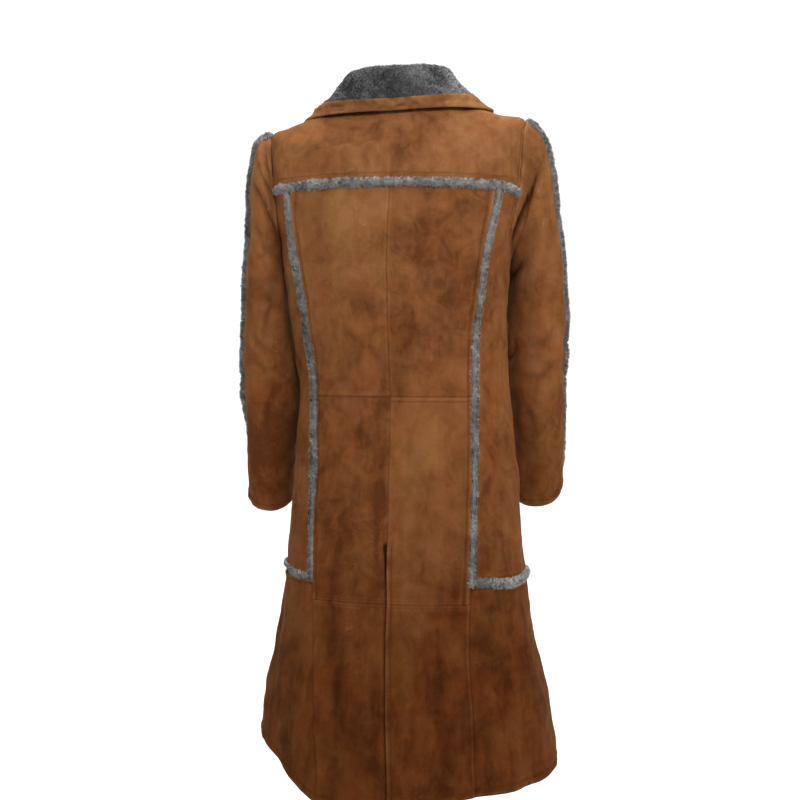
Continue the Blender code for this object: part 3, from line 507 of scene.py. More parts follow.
def seam_offset(seam, distance):
    """Height of the panel beside an edge, how pale it is rubbed there, and its painted shade in the
    seam's valley and along its stitching.
    """
    height = -SEAM_DIP * min(1.0, seam.shade / 0.14) * np.exp(-(distance / seam.dip) ** 2)
    worn = -seam.shade * groove(distance, 0.0, 0.0013)
    if seam.rise:
        height = height + seam.rise * band(distance, seam.start, seam.stop)
        worn = worn + seam.worn * groove(distance, seam.start + 0.0012, 0.0014)
        worn = worn + seam.worn * 0.6 * groove(distance, seam.stop - 0.0006, 0.0016)
    if seam.stitch:
        height = height - 0.0009 * groove(distance, seam.stitch, 0.0013)
        worn = worn - STITCH_SHADE * min(0.45, seam.worn) * groove(distance, seam.stitch, 0.0015)
    return height, worn


# ---- creases -------------------------------------------------------------------------------------

# Creases laid on the coat. Each runs through its points on one face of the coat, seen square on from
# that side: (x, z) on the back and front, (y, z) on the wearer's left and right. Depth is into the
# cloth, so a ridge has a negative one, and half_width is across the crease. Where lip is +1 or -1
# the cloth on the left or right of the path, as it runs down, folds over the crease.
Crease = namedtuple("Crease", "part face path half_width depth lip", defaults=(0,))
CREASES = [Crease(part, face, *row) for part, face, rows in (
    ("body", "back", (
        # skirt back: long soft troughs that open downwards
        (((0.094, -0.800), (0.090, -0.900), (0.098, -1.040)), 0.020, 0.0060),
        (((0.050, -0.860), (0.053, -0.960), (0.060, -1.070)), 0.016, 0.0030),
        (((-0.098, -0.540), (-0.101, -0.690), (-0.093, -0.850)), 0.013, 0.0045),
        (((-0.060, -0.830), (-0.066, -0.930), (-0.078, -1.060)), 0.018, 0.0040),
        (((0.152, -0.800), (0.168, -0.900), (0.176, -1.000)), 0.016, 0.0040),
        (((-0.150, -0.800), (-0.170, -0.910), (-0.180, -1.030)), 0.018, 0.0045),
        (((-0.122, -0.767), (-0.165, -0.769), (-0.205, -0.760)), 0.009, 0.0022),
        # beside the vent
        (((0.030, -0.690), (0.029, -0.830), (0.031, -1.060)), 0.006, 0.0016),
        (((-0.008, -0.700), (-0.006, -0.850), (-0.002, -1.060)), 0.006, 0.0016),
        (((0.014, -0.655), (0.015, -0.676)), 0.008, -0.0020),
        # waist and seat
        (((0.075, -0.470), (0.060, -0.520), (0.062, -0.600)), 0.014, 0.0030),
        (((-0.020, -0.500), (-0.030, -0.580), (-0.022, -0.650)), 0.016, 0.0022),
        (((0.100, -0.610), (0.085, -0.660), (0.060, -0.690)), 0.013, 0.0024),
        (((-0.060, -0.640), (-0.040, -0.675), (-0.010, -0.695)), 0.012, 0.0020),
        (((0.120, -0.425), (0.085, -0.440), (0.050, -0.438)), 0.010, 0.0018),
        (((-0.060, -0.428), (-0.090, -0.440), (-0.118, -0.432)), 0.010, 0.0018),
        # back and shoulders
        (((0.160, -0.130), (0.130, -0.200), (0.118, -0.300)), 0.018, 0.0026),
        (((-0.165, -0.130), (-0.140, -0.210), (-0.128, -0.310)), 0.018, 0.0026),
        (((0.060, -0.150), (0.035, -0.220), (0.040, -0.320)), 0.024, 0.0020),
        (((-0.050, -0.140), (-0.040, -0.250), (-0.055, -0.340)), 0.024, 0.0018),
        (((0.130, -0.040), (0.100, -0.070), (0.060, -0.075)), 0.013, 0.0016),
        (((-0.120, -0.030), (-0.090, -0.062), (-0.040, -0.078)), 0.013, 0.0016),
    )),
    ("sleeve_left", "back", (
        # wearer's left sleeve, back
        (((0.206, -0.052), (0.206, -0.080), (0.198, -0.108)), 0.0040, 0.0024, -1),
        (((0.225, -0.066), (0.216, -0.090), (0.203, -0.116), (0.195, -0.132)),
         0.0065, 0.0034, -1),
        (((0.234, -0.100), (0.223, -0.121), (0.208, -0.146), (0.194, -0.176),
         (0.184, -0.202)), 0.0085, 0.0045, -1),
        (((0.187, -0.235), (0.185, -0.320), (0.180, -0.410)), 0.0100, -0.0050),
        (((0.236, -0.165), (0.215, -0.205), (0.196, -0.226)), 0.0080, 0.0042),
        (((0.192, -0.300), (0.205, -0.330), (0.214, -0.372)), 0.0100, 0.0045),
        (((0.240, -0.352), (0.216, -0.378), (0.190, -0.386)), 0.0075, 0.0050),
        (((0.238, -0.395), (0.212, -0.415), (0.188, -0.410)), 0.0070, 0.0042),
        (((0.186, -0.445), (0.205, -0.475), (0.212, -0.530)), 0.0100, 0.0035),
        (((0.240, -0.500), (0.226, -0.545), (0.228, -0.600)), 0.0080, 0.0028),
    )),
    ("sleeve_right", "back", (
        # wearer's right sleeve, back
        (((-0.234, -0.080), (-0.2245, -0.106), (-0.2095, -0.148),
         (-0.198, -0.178), (-0.187, -0.206), (-0.177, -0.236)),
         0.0072, 0.0052, 1),
    )),
    ("sleeve_right", "left", (
        (((0.040, -0.205), (0.005, -0.232), (-0.030, -0.245)), 0.0150, -0.0050),
    )),
    ("sleeve_right", "back", (
        (((-0.208, -0.232), (-0.199, -0.246), (-0.188, -0.264), (-0.178, -0.285)),
         0.0075, 0.0040, 1),
        (((-0.250, -0.190), (-0.240, -0.240), (-0.222, -0.290)), 0.0100, 0.0038),
        (((-0.200, -0.360), (-0.197, -0.382), (-0.188, -0.396), (-0.175, -0.402)),
         0.0070, 0.0038, 1),
        (((-0.262, -0.345), (-0.236, -0.372), (-0.212, -0.376)), 0.0075, 0.0045),
        (((-0.266, -0.405), (-0.240, -0.424), (-0.212, -0.430)), 0.0080, 0.0042),
        (((-0.268, -0.440), (-0.246, -0.470), (-0.220, -0.478)), 0.0070, 0.0036),
        (((-0.214, -0.470), (-0.226, -0.510), (-0.224, -0.570)), 0.0100, 0.0035),
    )),
    ("sleeve_left", "front", (
        # sleeves, front
        (((0.225, -0.090), (0.212, -0.150), (0.190, -0.200)), 0.0110, 0.0060),
        (((0.238, -0.230), (0.214, -0.270), (0.190, -0.285)), 0.0110, 0.0045),
        (((0.244, -0.360), (0.212, -0.385), (0.184, -0.378)), 0.0090, 0.0070),
        (((0.244, -0.400), (0.214, -0.420), (0.182, -0.428)), 0.0090, 0.0060),
        (((0.240, -0.450), (0.212, -0.462), (0.186, -0.485)), 0.0100, 0.0040),
    )),
    ("sleeve_right", "front", (
        (((-0.228, -0.080), (-0.214, -0.140), (-0.194, -0.205)), 0.0110, 0.0060),
        (((-0.262, -0.220), (-0.232, -0.268), (-0.204, -0.282)), 0.0110, 0.0045),
        (((-0.268, -0.350), (-0.234, -0.378), (-0.204, -0.372)), 0.0090, 0.0070),
        (((-0.270, -0.392), (-0.236, -0.414), (-0.202, -0.420)), 0.0090, 0.0060),
        (((-0.268, -0.446), (-0.240, -0.460), (-0.210, -0.480)), 0.0100, 0.0040),
    )),
    ("sleeve_left", "left", (
        # sleeves, outer sides
        (((0.040, -0.120), (0.005, -0.150), (-0.040, -0.140)), 0.0130, 0.0014),
        (((0.030, -0.345), (-0.010, -0.375), (-0.050, -0.360)), 0.0120, 0.0022),
        (((0.015, -0.400), (-0.030, -0.430), (-0.070, -0.420)), 0.0120, 0.0020),
    )),
    ("sleeve_right", "right", (
        (((0.040, -0.110), (0.000, -0.150), (-0.040, -0.150)), 0.0140, 0.0012),
        (((0.035, -0.340), (-0.005, -0.370), (-0.050, -0.355)), 0.0120, 0.0020),
        (((0.020, -0.395), (-0.025, -0.425), (-0.070, -0.412)), 0.0120, 0.0018),
    )),
    ("body", "front", (
        # front: pulls from the buttons, and the fall of the skirt
        (((-0.010, -0.150), (0.050, -0.170), (0.110, -0.215)), 0.0130, 0.0030),
        (((-0.020, -0.415), (0.040, -0.405), (0.110, -0.425)), 0.0110, 0.0030),
        (((-0.030, -0.425), (-0.080, -0.430), (-0.140, -0.455)), 0.0120, 0.0035),
        (((-0.040, -0.550), (-0.090, -0.580), (-0.120, -0.660)), 0.0150, 0.0035),
        (((0.060, -0.170), (0.085, -0.260), (0.080, -0.350)), 0.0200, 0.0030),
        (((-0.100, -0.180), (-0.105, -0.270), (-0.095, -0.350)), 0.0200, 0.0030),
        (((0.100, -0.700), (0.110, -0.850), (0.125, -1.000)), 0.0200, 0.0060),
        (((-0.130, -0.700), (-0.150, -0.850), (-0.165, -1.010)), 0.0200, 0.0060),
        (((0.030, -0.760), (0.035, -0.880), (0.040, -1.020)), 0.0180, 0.0040),
        (((-0.080, -0.780), (-0.085, -0.900), (-0.092, -1.020)), 0.0180, 0.0035),
    )),
    ("body", "left", (
        # body sides
        (((0.060, -0.300), (0.020, -0.380), (-0.020, -0.430)), 0.0120, 0.0035),
        (((-0.040, -0.330), (0.000, -0.400), (0.040, -0.450)), 0.0120, 0.0030),
        (((0.010, -0.780), (0.020, -0.880), (0.040, -0.990)), 0.0180, 0.0050),
    )),
    ("body", "right", (
        (((0.030, -0.300), (0.010, -0.380), (-0.030, -0.430)), 0.0120, 0.0035),
        (((-0.050, -0.330), (-0.010, -0.400), (0.020, -0.455)), 0.0120, 0.0030),
        (((0.000, -0.780), (-0.010, -0.880), (-0.020, -1.000)), 0.0180, 0.0050),
    )),
) for row in rows]
FACES = {"back": (0, (0.0, 1.0, 0.0)), "front": (0, (0.0, -1.0, 0.0)),
         "left": (1, (1.0, 0.0, 0.0)), "right": (1, (-1.0, 0.0, 0.0))}


def crease_shape(crease, points, normals):
    """How deep one crease is at each point, and how much painted shade it gets: a trough with a brow on
    both sides.
    """
    across_axis, facing = FACES[crease.face]
    path = spline(np.array(crease.path), np.linspace(0.0, len(crease.path) - 1.0, 17))
    low, high = path.min(0) - 3.0 * crease.half_width, path.max(0) + 3.0 * crease.half_width
    flat = np.stack([points[:, across_axis], points[:, 2]], -1)
    faces = normals @ np.array(facing)
    near = np.all((flat > low) & (flat < high), -1) & (faces > 0.0)
    depth, shade = np.zeros((2, len(points)))
    if not near.any():
        return depth, shade
    flat = flat[near]
    start, way = path[:-1], np.diff(path, axis=0)
    share = np.clip(((flat[:, None] - start) * way).sum(-1) / (way ** 2).sum(-1), 0.0, 1.0)
    offset = flat[:, None] - start - share[..., None] * way
    away = np.linalg.norm(offset, axis=-1)
    closest = away.min(1)
    offset = offset[np.arange(len(flat)), away.argmin(1)]
    way_here = way[away.argmin(1)]
    side = np.sign(way_here[:, 0] * offset[:, 1] - way_here[:, 1] * offset[:, 0])
    weight = np.exp((closest[:, None] ** 2 - away ** 2) / (0.5 * crease.half_width) ** 2)
    place = ((np.arange(len(way)) + share) * weight).sum(-1) / weight.sum(-1) / len(way)
    across = closest / (crease.half_width * (0.75 + 0.5 * place))
    if crease.lip:
        across = across * side * -crease.lip
        shape = (np.exp(-np.where(across > 0.0, 0.9, 3.2) * across ** 2)
                 - 0.35 * groove(across, -0.85, 0.5))
        dark = np.exp(-np.where(across > 0.12, 2.2, 30.0) * (across - 0.12) ** 2)
    else:
        shape = np.exp(-0.8 * across ** 2) * (1.0 - 0.75 * across ** 2)
        dark = shape
    ends = (smooth_step(-0.02, 0.30, place) * (1.0 - smooth_step(0.60, 1.02, place) * 0.92)
            * smooth_step(0.0, 0.35, faces[near]))
    depth[near] = crease.depth * shape * ends
    # painted shade in the crease: darker for deeper and steeper creases, and more so where cloth folds
    # over
    shade[near] = (CREASE_SHADE * (LIP_SHADE if crease.lip else 1.0) * crease.depth ** 2
                   / crease.half_width * dark * ends)
    return depth, shade


# Patches where the suede is painted paler or darker, seen square on as the creases are: the middle,
# half the width and height, and how much paler. Most are the nap's own tone; some are painted shade
# down creases, in folds and between the sleeves and the body, and some are painted light.
Patch = namedtuple("Patch", "face middle half_size paler")
PATCHES = [Patch(face, *row) for face, rows in (
    ("back", (
        # upper back: pale on the wearer's left, dark beyond the middle
        ((0.085, -0.150), (0.055, 0.050), 0.55),
        ((0.060, -0.270), (0.060, 0.080), 0.40),
        ((-0.075, -0.240), (0.062, 0.085), -1.05),
        ((-0.150, -0.420), (0.016, 0.150), -0.60),
        ((-0.035, -0.255), (0.014, 0.022), -0.60),
        ((-0.062, -0.294), (0.010, 0.008), 1.30),
        ((-0.020, -0.360), (0.060, 0.040), -0.25),
        ((-0.060, -0.400), (0.050, 0.030), 0.25),
        # waist and seat: dark on the wearer's left of the centre seam, pale on its right
        ((0.060, -0.500), (0.055, 0.070), -0.30),
        ((0.022, -0.560), (0.010, 0.100), -0.80),
        ((-0.040, -0.560), (0.035, 0.120), 0.85),
        # painted shade along the fold of the vent's facing
        ((0.0285, -0.690), (0.0032, 0.090), -1.30),
        # painted shade along the fold of the vent's facing, lower down
        ((0.030, -0.960), (0.0040, 0.100), -0.90),
        ((-0.085, -0.520), (0.012, 0.100), -0.50),
        ((0.070, -0.640), (0.060, 0.050), -0.60),
        ((0.045, -0.715), (0.025, 0.040), 0.50),
        ((-0.045, -0.690), (0.045, 0.050), 0.45),
        # painted shade down the crease below the seat, on the wearer's right
        ((-0.094, -0.770), (0.012, 0.060), -1.10),
        ((-0.098, -0.757), (0.0035, 0.020), -1.60),
        # skirt
        # painted shade down the skirt's trough on the wearer's left
        ((0.094, -0.880), (0.012, 0.110), -1.30),
        ((0.045, -0.860), (0.022, 0.090), 0.30),
        ((0.072, -1.010), (0.014, 0.070), -1.00),
        ((0.130, -0.980), (0.012, 0.080), -0.90),
        ((-0.025, -0.850), (0.024, 0.110), 0.55),
        # painted shade down the skirt's trough on the wearer's right
        ((-0.068, -0.860), (0.010, 0.080), -0.90),
        ((-0.090, -0.990), (0.050, 0.080), -1.10),
        ((-0.140, -1.000), (0.014, 0.070), -0.80),
        ((0.150, -0.930), (0.050, 0.120), 0.30),
        ((-0.150, -0.830), (0.060, 0.070), -0.60),
        ((-0.190, -0.960), (0.050, 0.080), 0.30),
        # sleeves, lower down, and their sides towards the body: mostly painted shade and painted light
        # painted shadow on the left sleeve's lower part, beside the body
        ((0.215, -0.540), (0.050, 0.090), -2.70),
        # painted shade in the pocket at the foot of the right sleeve's fold by the armhole
        ((-0.1905, -0.196), (0.0045, 0.014), -3.00),
        # painted shade in the pocket of the left sleeve's fold by the armhole
        ((0.192, -0.190), (0.006, 0.014), -2.50),
        # painted shade on the right sleeve's side towards the body
        ((-0.205, -0.480), (0.012, 0.110), -0.80),
        # painted light on the right sleeve, away from the body
        ((-0.240, -0.490), (0.022, 0.080), 0.60),
        # painted light where the left sleeve meets the body, lifting the shade between them
        ((0.172, -0.350), (0.009, 0.110), 1.40),
        ((0.215, -0.210), (0.030, 0.080), 0.50),
    )),
    ("left", (
        # sides and front
        ((0.000, -0.860), (0.060, 0.090), -0.50),
    )),
    ("right", (
        ((0.010, -0.900), (0.070, 0.100), 0.40),
    )),
    ("front", (
        ((0.070, -0.230), (0.050, 0.090), 0.50),
        ((-0.090, -0.280), (0.050, 0.080), -0.50),
        ((0.020, -0.500), (0.060, 0.070), -0.40),
        ((-0.080, -0.640), (0.060, 0.090), 0.50),
        ((0.090, -0.820), (0.060, 0.110), -0.60),
        ((-0.060, -0.930), (0.050, 0.090), 0.40),
    )),
) for row in rows]


# Each panel is cut from its own hide: how much paler some of them are.
HIDES = {"upper_back_left": 0.20, "upper_back_right": -0.25, "lower_back_left": -0.50,
         "lower_back_right": 0.40, "back_skirt_shell_left": -0.15, "side_body_left": 0.30,
         "side_body_right": -0.40, "side_skirt_shell_right": -0.30}


def patches(points, normals):
    """How much paler the suede is painted at points, by the patches laid on the coat: the nap's own
    tone, with painted shade and painted light among them.
    """
    paler = np.zeros(len(points))
    for patch in PATCHES:
        across_axis, facing = FACES[patch.face]
        away = (points[:, [across_axis, 2]] - np.array(patch.middle)) / np.array(patch.half_size)
        paler += (patch.paler * np.exp(-(away ** 2).sum(-1))
                  * smooth_step(-0.1, 0.5, normals @ np.array(facing)))
    return paler


# the creases' painted shade
LIP_SHADE = 4.0          # how many times darker a crease is that cloth folds over
CREASE_SHADE = 72.0      # how much darker a crease is, by its depth and by how steep it is
SWELLS = (               # the cloth's own unevenness: wavelength, height, and seed
    (0.150, 0.0013, 11),
    (0.062, 0.0010, 12),
    (0.028, 0.00050, 13),
    (0.014, 0.00018, 14),
)
PUCKER_WAVE, PUCKER_HEIGHT, PUCKER_REACH = 0.011, 0.00035, 0.012


def swells(points):
    return sum(high * ripple(points, wave, seed) for wave, high, seed in SWELLS)


def creases(part, points, normals):
    """How deep the creases laid on one part are, and how much painted shade they get, at points of its
    even outside.
    """
    return sum(np.array(crease_shape(crease, points, normals)) for crease in CREASES
               if crease.part == part)


KIND_BLEND = 0.12        # rings over which an edge changes from one kind of seam to the next


def vent_shade(panel):
    """Painted shade in the vent's slit, and on the cloth beside it that leads down to it."""
    away = panel.edge["first"] - VENT_UNDERLAP * vent_share(panel.along)
    top = groove(panel.along, VENT + 0.25, 0.42)
    slit = 1.0 - smooth_step(0.0033 + 0.0024 * top, 0.0055 + 0.0024 * top, away)
    beside = 0.42 * np.exp(-(away / 0.0075) ** 2)
    return smooth_step(VENT - 0.02, VENT + 0.08, panel.along) * (1.5 * slit + beside)


def kinds_along(kinds, along):
    """(kind, weight) along an edge given as one kind, or as (kind, ring where it ends) pairs."""
    if isinstance(kinds, str):
        return [(kinds, np.ones_like(along))]
    weights, start = [], -1.0
    for kind, stop in kinds:
        here = (smooth_step(start - KIND_BLEND, start + KIND_BLEND, along)
                * (1.0 - smooth_step(stop - KIND_BLEND, stop + KIND_BLEND, along)))
        weights.append((kind, here))
        start = stop
    return weights


MITRE_REACH = 0.006      # how far from an armhole the panels' directions are drawn together
ARMHOLE_FADE = 0.7       # rings past the armhole's two ends over which that stops
FOLD_THIN, FOLD_SPAN = 0.6, (0.0004, 0.0024)    # how much thinner the wall is, by its crease
CREASE_REACH = 0.011     # creases fade out this far before an armhole, as its two sides differ


def armhole_share(row):
    """1 along the armhole and 0 past its ends at the shoulder tip and the underarm."""
    return (smooth_step(TIP - ARMHOLE_FADE, TIP, row)
            * (1.0 - smooth_step(UNDERARM, UNDERARM + ARMHOLE_FADE, row)))


def shape_panel(panel, part, seams, lift=None, armholes=()):
    """Gives a panel its shaped outside, how pale each point is rubbed, and its painted shade.

    seams has the kind of seam at each edge. armholes has (edge, side, around, share) for each
    edge that is partly on an armhole: the sleeve's around at each point, and whether it is there.
    """
    grid = panel.points.shape[:2]
    crease_share, crease_out = np.ones(grid), panel.normals
    for edge, side, around, share in armholes:
        weight = (share * np.exp(-(panel.edge[edge] / MITRE_REACH) ** 2))[..., None]
        mitre = armhole_normal(side, np.clip(around, -AROUND, AROUND))
        panel.normals = unit(panel.normals * (1.0 - weight) + mitre * weight)
        crease_share = crease_share * (1.0 - share * (1.0 - smooth_step(0.0, CREASE_REACH,
                                                                        panel.edge[edge])))
    points, normals = panel.points.reshape(-1, 3), panel.normals.reshape(-1, 3)
    folded, dark = (creases(part, points, normals) * crease_share.ravel()).reshape((2, *grid))
    height = swells(points).reshape(grid) + (lift(panel) if lift else 0.0)
    # the creases' painted shade; at the vent, the painted shade of its slit is added below
    panel.worn, nearest = -dark, np.ones(grid)
    panel.thin = 1.0 - FOLD_THIN * smooth_step(*FOLD_SPAN, np.abs(folded))
    if "vent_under" in str(seams["first"]):
        panel.worn = panel.worn - vent_shade(panel)
    # patches and each hide's own tone; some of the patches are painted shade and painted light
    panel.paler = patches(points, normals).reshape(grid) + HIDES.get(panel.name, 0.0)
    for edge, kinds in seams.items():
        for kind, weight in kinds_along(kinds, panel.along):
            distance = panel.edge[edge] / seam_spread(kind, panel.along)
            rise, rubbing_and_shade = seam_offset(SEAMS[kind], distance)
            height, panel.worn = height + rise * weight, panel.worn + rubbing_and_shade * weight
            if SEAMS[kind].stitch:
                away = np.abs(panel.edge[edge] - SEAMS[kind].stitch) + (1.0 - weight)
                nearest = np.minimum(nearest, away)
    pucker = ripple(points, PUCKER_WAVE, 15).reshape(grid)
    height = height + PUCKER_HEIGHT * pucker * np.exp(-(nearest / PUCKER_REACH) ** 2)
    panel.shaped = panel.points + panel.normals * height[..., None] - crease_out * folded[..., None]
    panel.seams = seams


# ---- meshes --------------------------------------------------------------------------------------

def mesh_object(name, points, quads, triangles=None, materials=(), material_of=None, **attributes):
    """An object from arrays of points and of four- and three-cornered faces, shaded smooth."""
    triangles = np.empty((0, 3), int) if triangles is None else triangles
    mesh = bpy.data.meshes.new(name)
    mesh.vertices.add(len(points))
    mesh.vertices.foreach_set("co", np.asarray(points, np.float32).ravel())
    corners = np.concatenate([quads.ravel(), triangles.ravel()]).astype(np.int32)
    mesh.loops.add(len(corners))
    mesh.loops.foreach_set("vertex_index", corners)
    starts = np.concatenate([np.arange(len(quads)) * 4,
                             len(quads) * 4 + np.arange(len(triangles)) * 3]).astype(np.int32)
    mesh.polygons.add(len(starts))
    mesh.polygons.foreach_set("loop_start", starts)
    for material in materials:
        mesh.materials.append(material)
    if material_of is not None:
        mesh.polygons.foreach_set("material_index", np.asarray(material_of, np.int32))
    mesh.update(calc_edges=True)
    mesh.validate()
    mesh.shade_smooth()
    for key, values in attributes.items():
        layer = mesh.attributes.new(key, "FLOAT", "POINT")
        layer.data.foreach_set("value", np.asarray(values, np.float32).ravel())
    made = bpy.data.objects.new(name, mesh)
    bpy.context.collection.objects.link(made)
    return made


def grid_faces(rows, columns, start=0, closed=False):
    """Quads of a grid of points counted row by row; closed joins the last column to the first."""
    row, column = np.meshgrid(np.arange(rows - 1), np.arange(columns if closed else columns - 1),
                              indexing="ij")
    after = (column + 1) % columns
    corners = (row * columns + column, row * columns + after,
               (row + 1) * columns + after, (row + 1) * columns + column)
    return start + np.stack(corners, -1).reshape(-1, 4)


def fan(start, count):
    """Triangles that close a ring of points counted from start."""
    after = np.arange(1, count - 1)
    return start + np.stack([np.zeros(count - 2, int), after, after + 1], -1)


def faces_inward(quads, points, normals):
    """Whether quads turn their backs to the outward normals, by the one in their middle."""
    corner, beside, _, below = quads[len(quads) // 2]
    facing = np.cross(points[beside] - points[corner], points[below] - points[corner])
    return facing @ normals[corner] < 0.0


FLEECE_LUMP = 0.0006     # unevenness of the fleece inside
EDGE_ROUND = 0.0009      # how far a turned edge's middle stands out


def rim_indices(rows, columns):
    top = np.arange(columns)
    right = np.arange(1, rows) * columns + columns - 1
    bottom = (rows - 1) * columns + np.arange(columns - 2, -1, -1)
    left = np.arange(rows - 2, 0, -1) * columns
    return np.concatenate([top, right, bottom, left])


def shell(panel, materials):
    """A panel as a closed thin shell: suede outside and round its edge, fleece inside."""
    rows, columns = panel.shaped.shape[:2]
    outside = panel.shaped.reshape(-1, 3)
    normals = panel.normals.reshape(-1, 3)
    lumps = FLEECE_LUMP * ripple(outside, 0.010, 31) + FLEECE_LUMP * ripple(outside, 0.0055, 32)
    inside = outside - normals * ((WALL + lumps) * panel.thin.ravel())[:, None]
    rim = rim_indices(rows, columns)
    inward = np.zeros_like(panel.shaped)
    inward[0] += panel.shaped[1] - panel.shaped[0]
    inward[-1] += panel.shaped[-2] - panel.shaped[-1]
    inward[:, 0] += panel.shaped[:, 1] - panel.shaped[:, 0]
    inward[:, -1] += panel.shaped[:, -2] - panel.shaped[:, -1]
    turned = np.zeros((rows, columns))
    for edge, where in EDGES.items():
        for kind, weight in kinds_along(panel.seams[edge], panel.along):
            if kind == "turned":
                turned[where] = np.maximum(turned[where], weight[where])
    push = unit(inward.reshape(-1, 3)[rim]) * (EDGE_ROUND * turned.ravel()[rim])[:, None]
    middle = (outside[rim] + inside[rim]) / 2.0 - push
    faces = grid_faces(rows, columns)
    count = rows * columns
    after = np.roll(np.arange(len(rim)), -1)
    line = 2 * count + np.arange(len(rim))
    outer_rim = np.stack([rim[after], rim, line, line[after]], -1)
    inner_rim = np.stack([line[after], line, count + rim, count + rim[after]], -1)
    quads = np.concatenate([faces, outer_rim, inner_rim, count + faces[:, [0, 3, 2, 1]]])
    material_of = np.concatenate([np.zeros(len(faces) + 2 * len(rim)), np.ones(len(faces))])
    if faces_inward(faces, outside, normals):
        quads = quads[:, ::-1]
    # rubbed paleness, with painted shade from the creases, seams, stitching and the vent's slit
    worn = np.concatenate([panel.worn.ravel(), np.zeros(count), panel.worn.ravel()[rim]])
    paler = np.concatenate([panel.paler.ravel(), np.zeros(count), panel.paler.ravel()[rim]])
    return mesh_object(panel.name, np.concatenate([outside, inside, middle]), quads,
                       materials=materials, material_of=material_of, worn=worn, paler=paler)


# ---- stitches ------------------------------------------------------------------------------------

STITCH_PITCH, STITCH_LENGTH, STITCH_RADIUS = 0.0038, 0.0027, 0.00034
STITCH_RISE = 0.00012    # how far a stitch's middle stands out of its groove
STITCH_SHAPE = (         # along and across, in shares of half its length and its radius
    (-0.70, 0.85),
    (0.70, 0.85),
)


def line_on(panel, edge, distance):
    """The panel's points and normals along a line at a distance, or distances, from one edge."""
    away = panel.edge[edge]
    points, normals = panel.shaped, panel.normals
    if edge in ("top", "bottom"):
        away, points, normals = away.T, points.transpose(1, 0, 2), normals.transpose(1, 0, 2)
    if edge in ("last", "bottom"):
        away, points, normals = away[:, ::-1], points[:, ::-1], normals[:, ::-1]
    distance = np.broadcast_to(distance, len(away))
    index = np.clip((away < distance[:, None]).sum(1) - 1, 0, away.shape[1] - 2)
    pick = np.arange(len(away))
    low, high = away[pick, index], away[pick, index + 1]
    share = np.clip((distance - low) / np.maximum(high - low, 1e-9), 0.0, 1.0)[:, None]
    line = points[pick, index] * (1.0 - share) + points[pick, index + 1] * share
    facing = normals[pick, index] * (1.0 - share) + normals[pick, index + 1] * share
    return line, unit(facing)


def stitch_run(line, facing, keep):
    """Places of the stitches along a line: middles, directions and normals, where keep is set."""
    run = lengths(line[:, None], 0)[:, 0]
    places = np.arange(STITCH_PITCH, run[-1] - STITCH_PITCH, STITCH_PITCH)
    kept = np.interp(places, run, keep.astype(float)) > 0.98
    places = places[kept]

    def read(values, at):
        return np.stack([np.interp(at, run, values[:, axis]) for axis in range(3)], -1)

    middle = read(line, places)
    way = read(line, places + STITCH_LENGTH / 2.0) - read(line, places - STITCH_LENGTH / 2.0)
    return middle, unit(way), unit(read(facing, places))


def stitch_mesh(name, runs, material):
    """All the stitches as one mesh of short four-sided bars with pointed ends."""
    middle, way, facing = (np.concatenate(part) for part in zip(*runs))
    middle = middle + facing * STITCH_RISE
    beside = unit(np.cross(way, facing))
    corners = [middle - way * STITCH_LENGTH / 2.0]
    for along, wide in STITCH_SHAPE:
        centre = middle + way * along * STITCH_LENGTH / 2.0
        for turn in range(4):
            angle = math.pi * (turn / 2.0 + 0.25)
            corners.append(centre + wide * STITCH_RADIUS * (beside * math.cos(angle)
                                                            + facing * math.sin(angle)))
    corners.append(middle + way * STITCH_LENGTH / 2.0)
    points = np.stack(corners, 1)
    each = points.shape[1]
    start = (np.arange(len(points)) * each)[:, None]
    quads = np.concatenate([start + np.array([1 + turn, 5 + turn, 5 + (turn + 1) % 4,
                                              1 + (turn + 1) % 4]) for turn in range(4)])
    triangles = np.concatenate([start + np.array([0, 1 + turn, 1 + (turn + 1) % 4])
                                for turn in range(4)]
                               + [start + np.array([9, 5 + (turn + 1) % 4, 5 + turn])
                                  for turn in range(4)])
    return mesh_object(name, points.reshape(-1, 3), quads, triangles, [material])


# ---- fur -----------------------------------------------------------------------------------------

# A pile's hairs: how many to a square metre, their length and its spread, their width at the root,
# how far each leans at random, how far tips gather into curls and how wide those are.
Pile = namedtuple("Pile", "density length spread width stray gather curl")
STRIP_PILE = Pile(1.30e6, 0.0040, 0.24, 0.00058, 0.40, 0.30, 0.0060)
COLLAR_PILE = Pile(0.93e6, 0.0036, 0.20, 0.00062, 0.46, 0.16, 0.0120)
SOFT_SHADE = 0.85        # how far a hair is shaded like the skin it grows on


def roots_on(points, normals, density, seed, share=None):
    """Random places spread evenly over a grid's cells: points, normals and grid positions."""
    draw = np.random.default_rng(seed)
    sides = np.cross(points[1:, :-1] - points[:-1, :-1], points[:-1, 1:] - points[:-1, :-1])
    area = np.linalg.norm(sides, axis=-1)
    if share is not None:
        area = area * share[:-1, :-1]
    count = int(area.sum() * density)
    cell = draw.choice(area.size, count, p=area.ravel() / area.sum())
    row, column = np.unravel_index(cell, area.shape)
    down, right = draw.uniform(size=(count, 1)), draw.uniform(size=(count, 1))

    def read(grid):
        top = grid[row, column] * (1.0 - right) + grid[row, column + 1] * right
        bottom = grid[row + 1, column] * (1.0 - right) + grid[row + 1, column + 1] * right
        return top * (1.0 - down) + bottom * down

    return read(points), unit(read(normals)), (row + down[:, 0], column + right[:, 0])


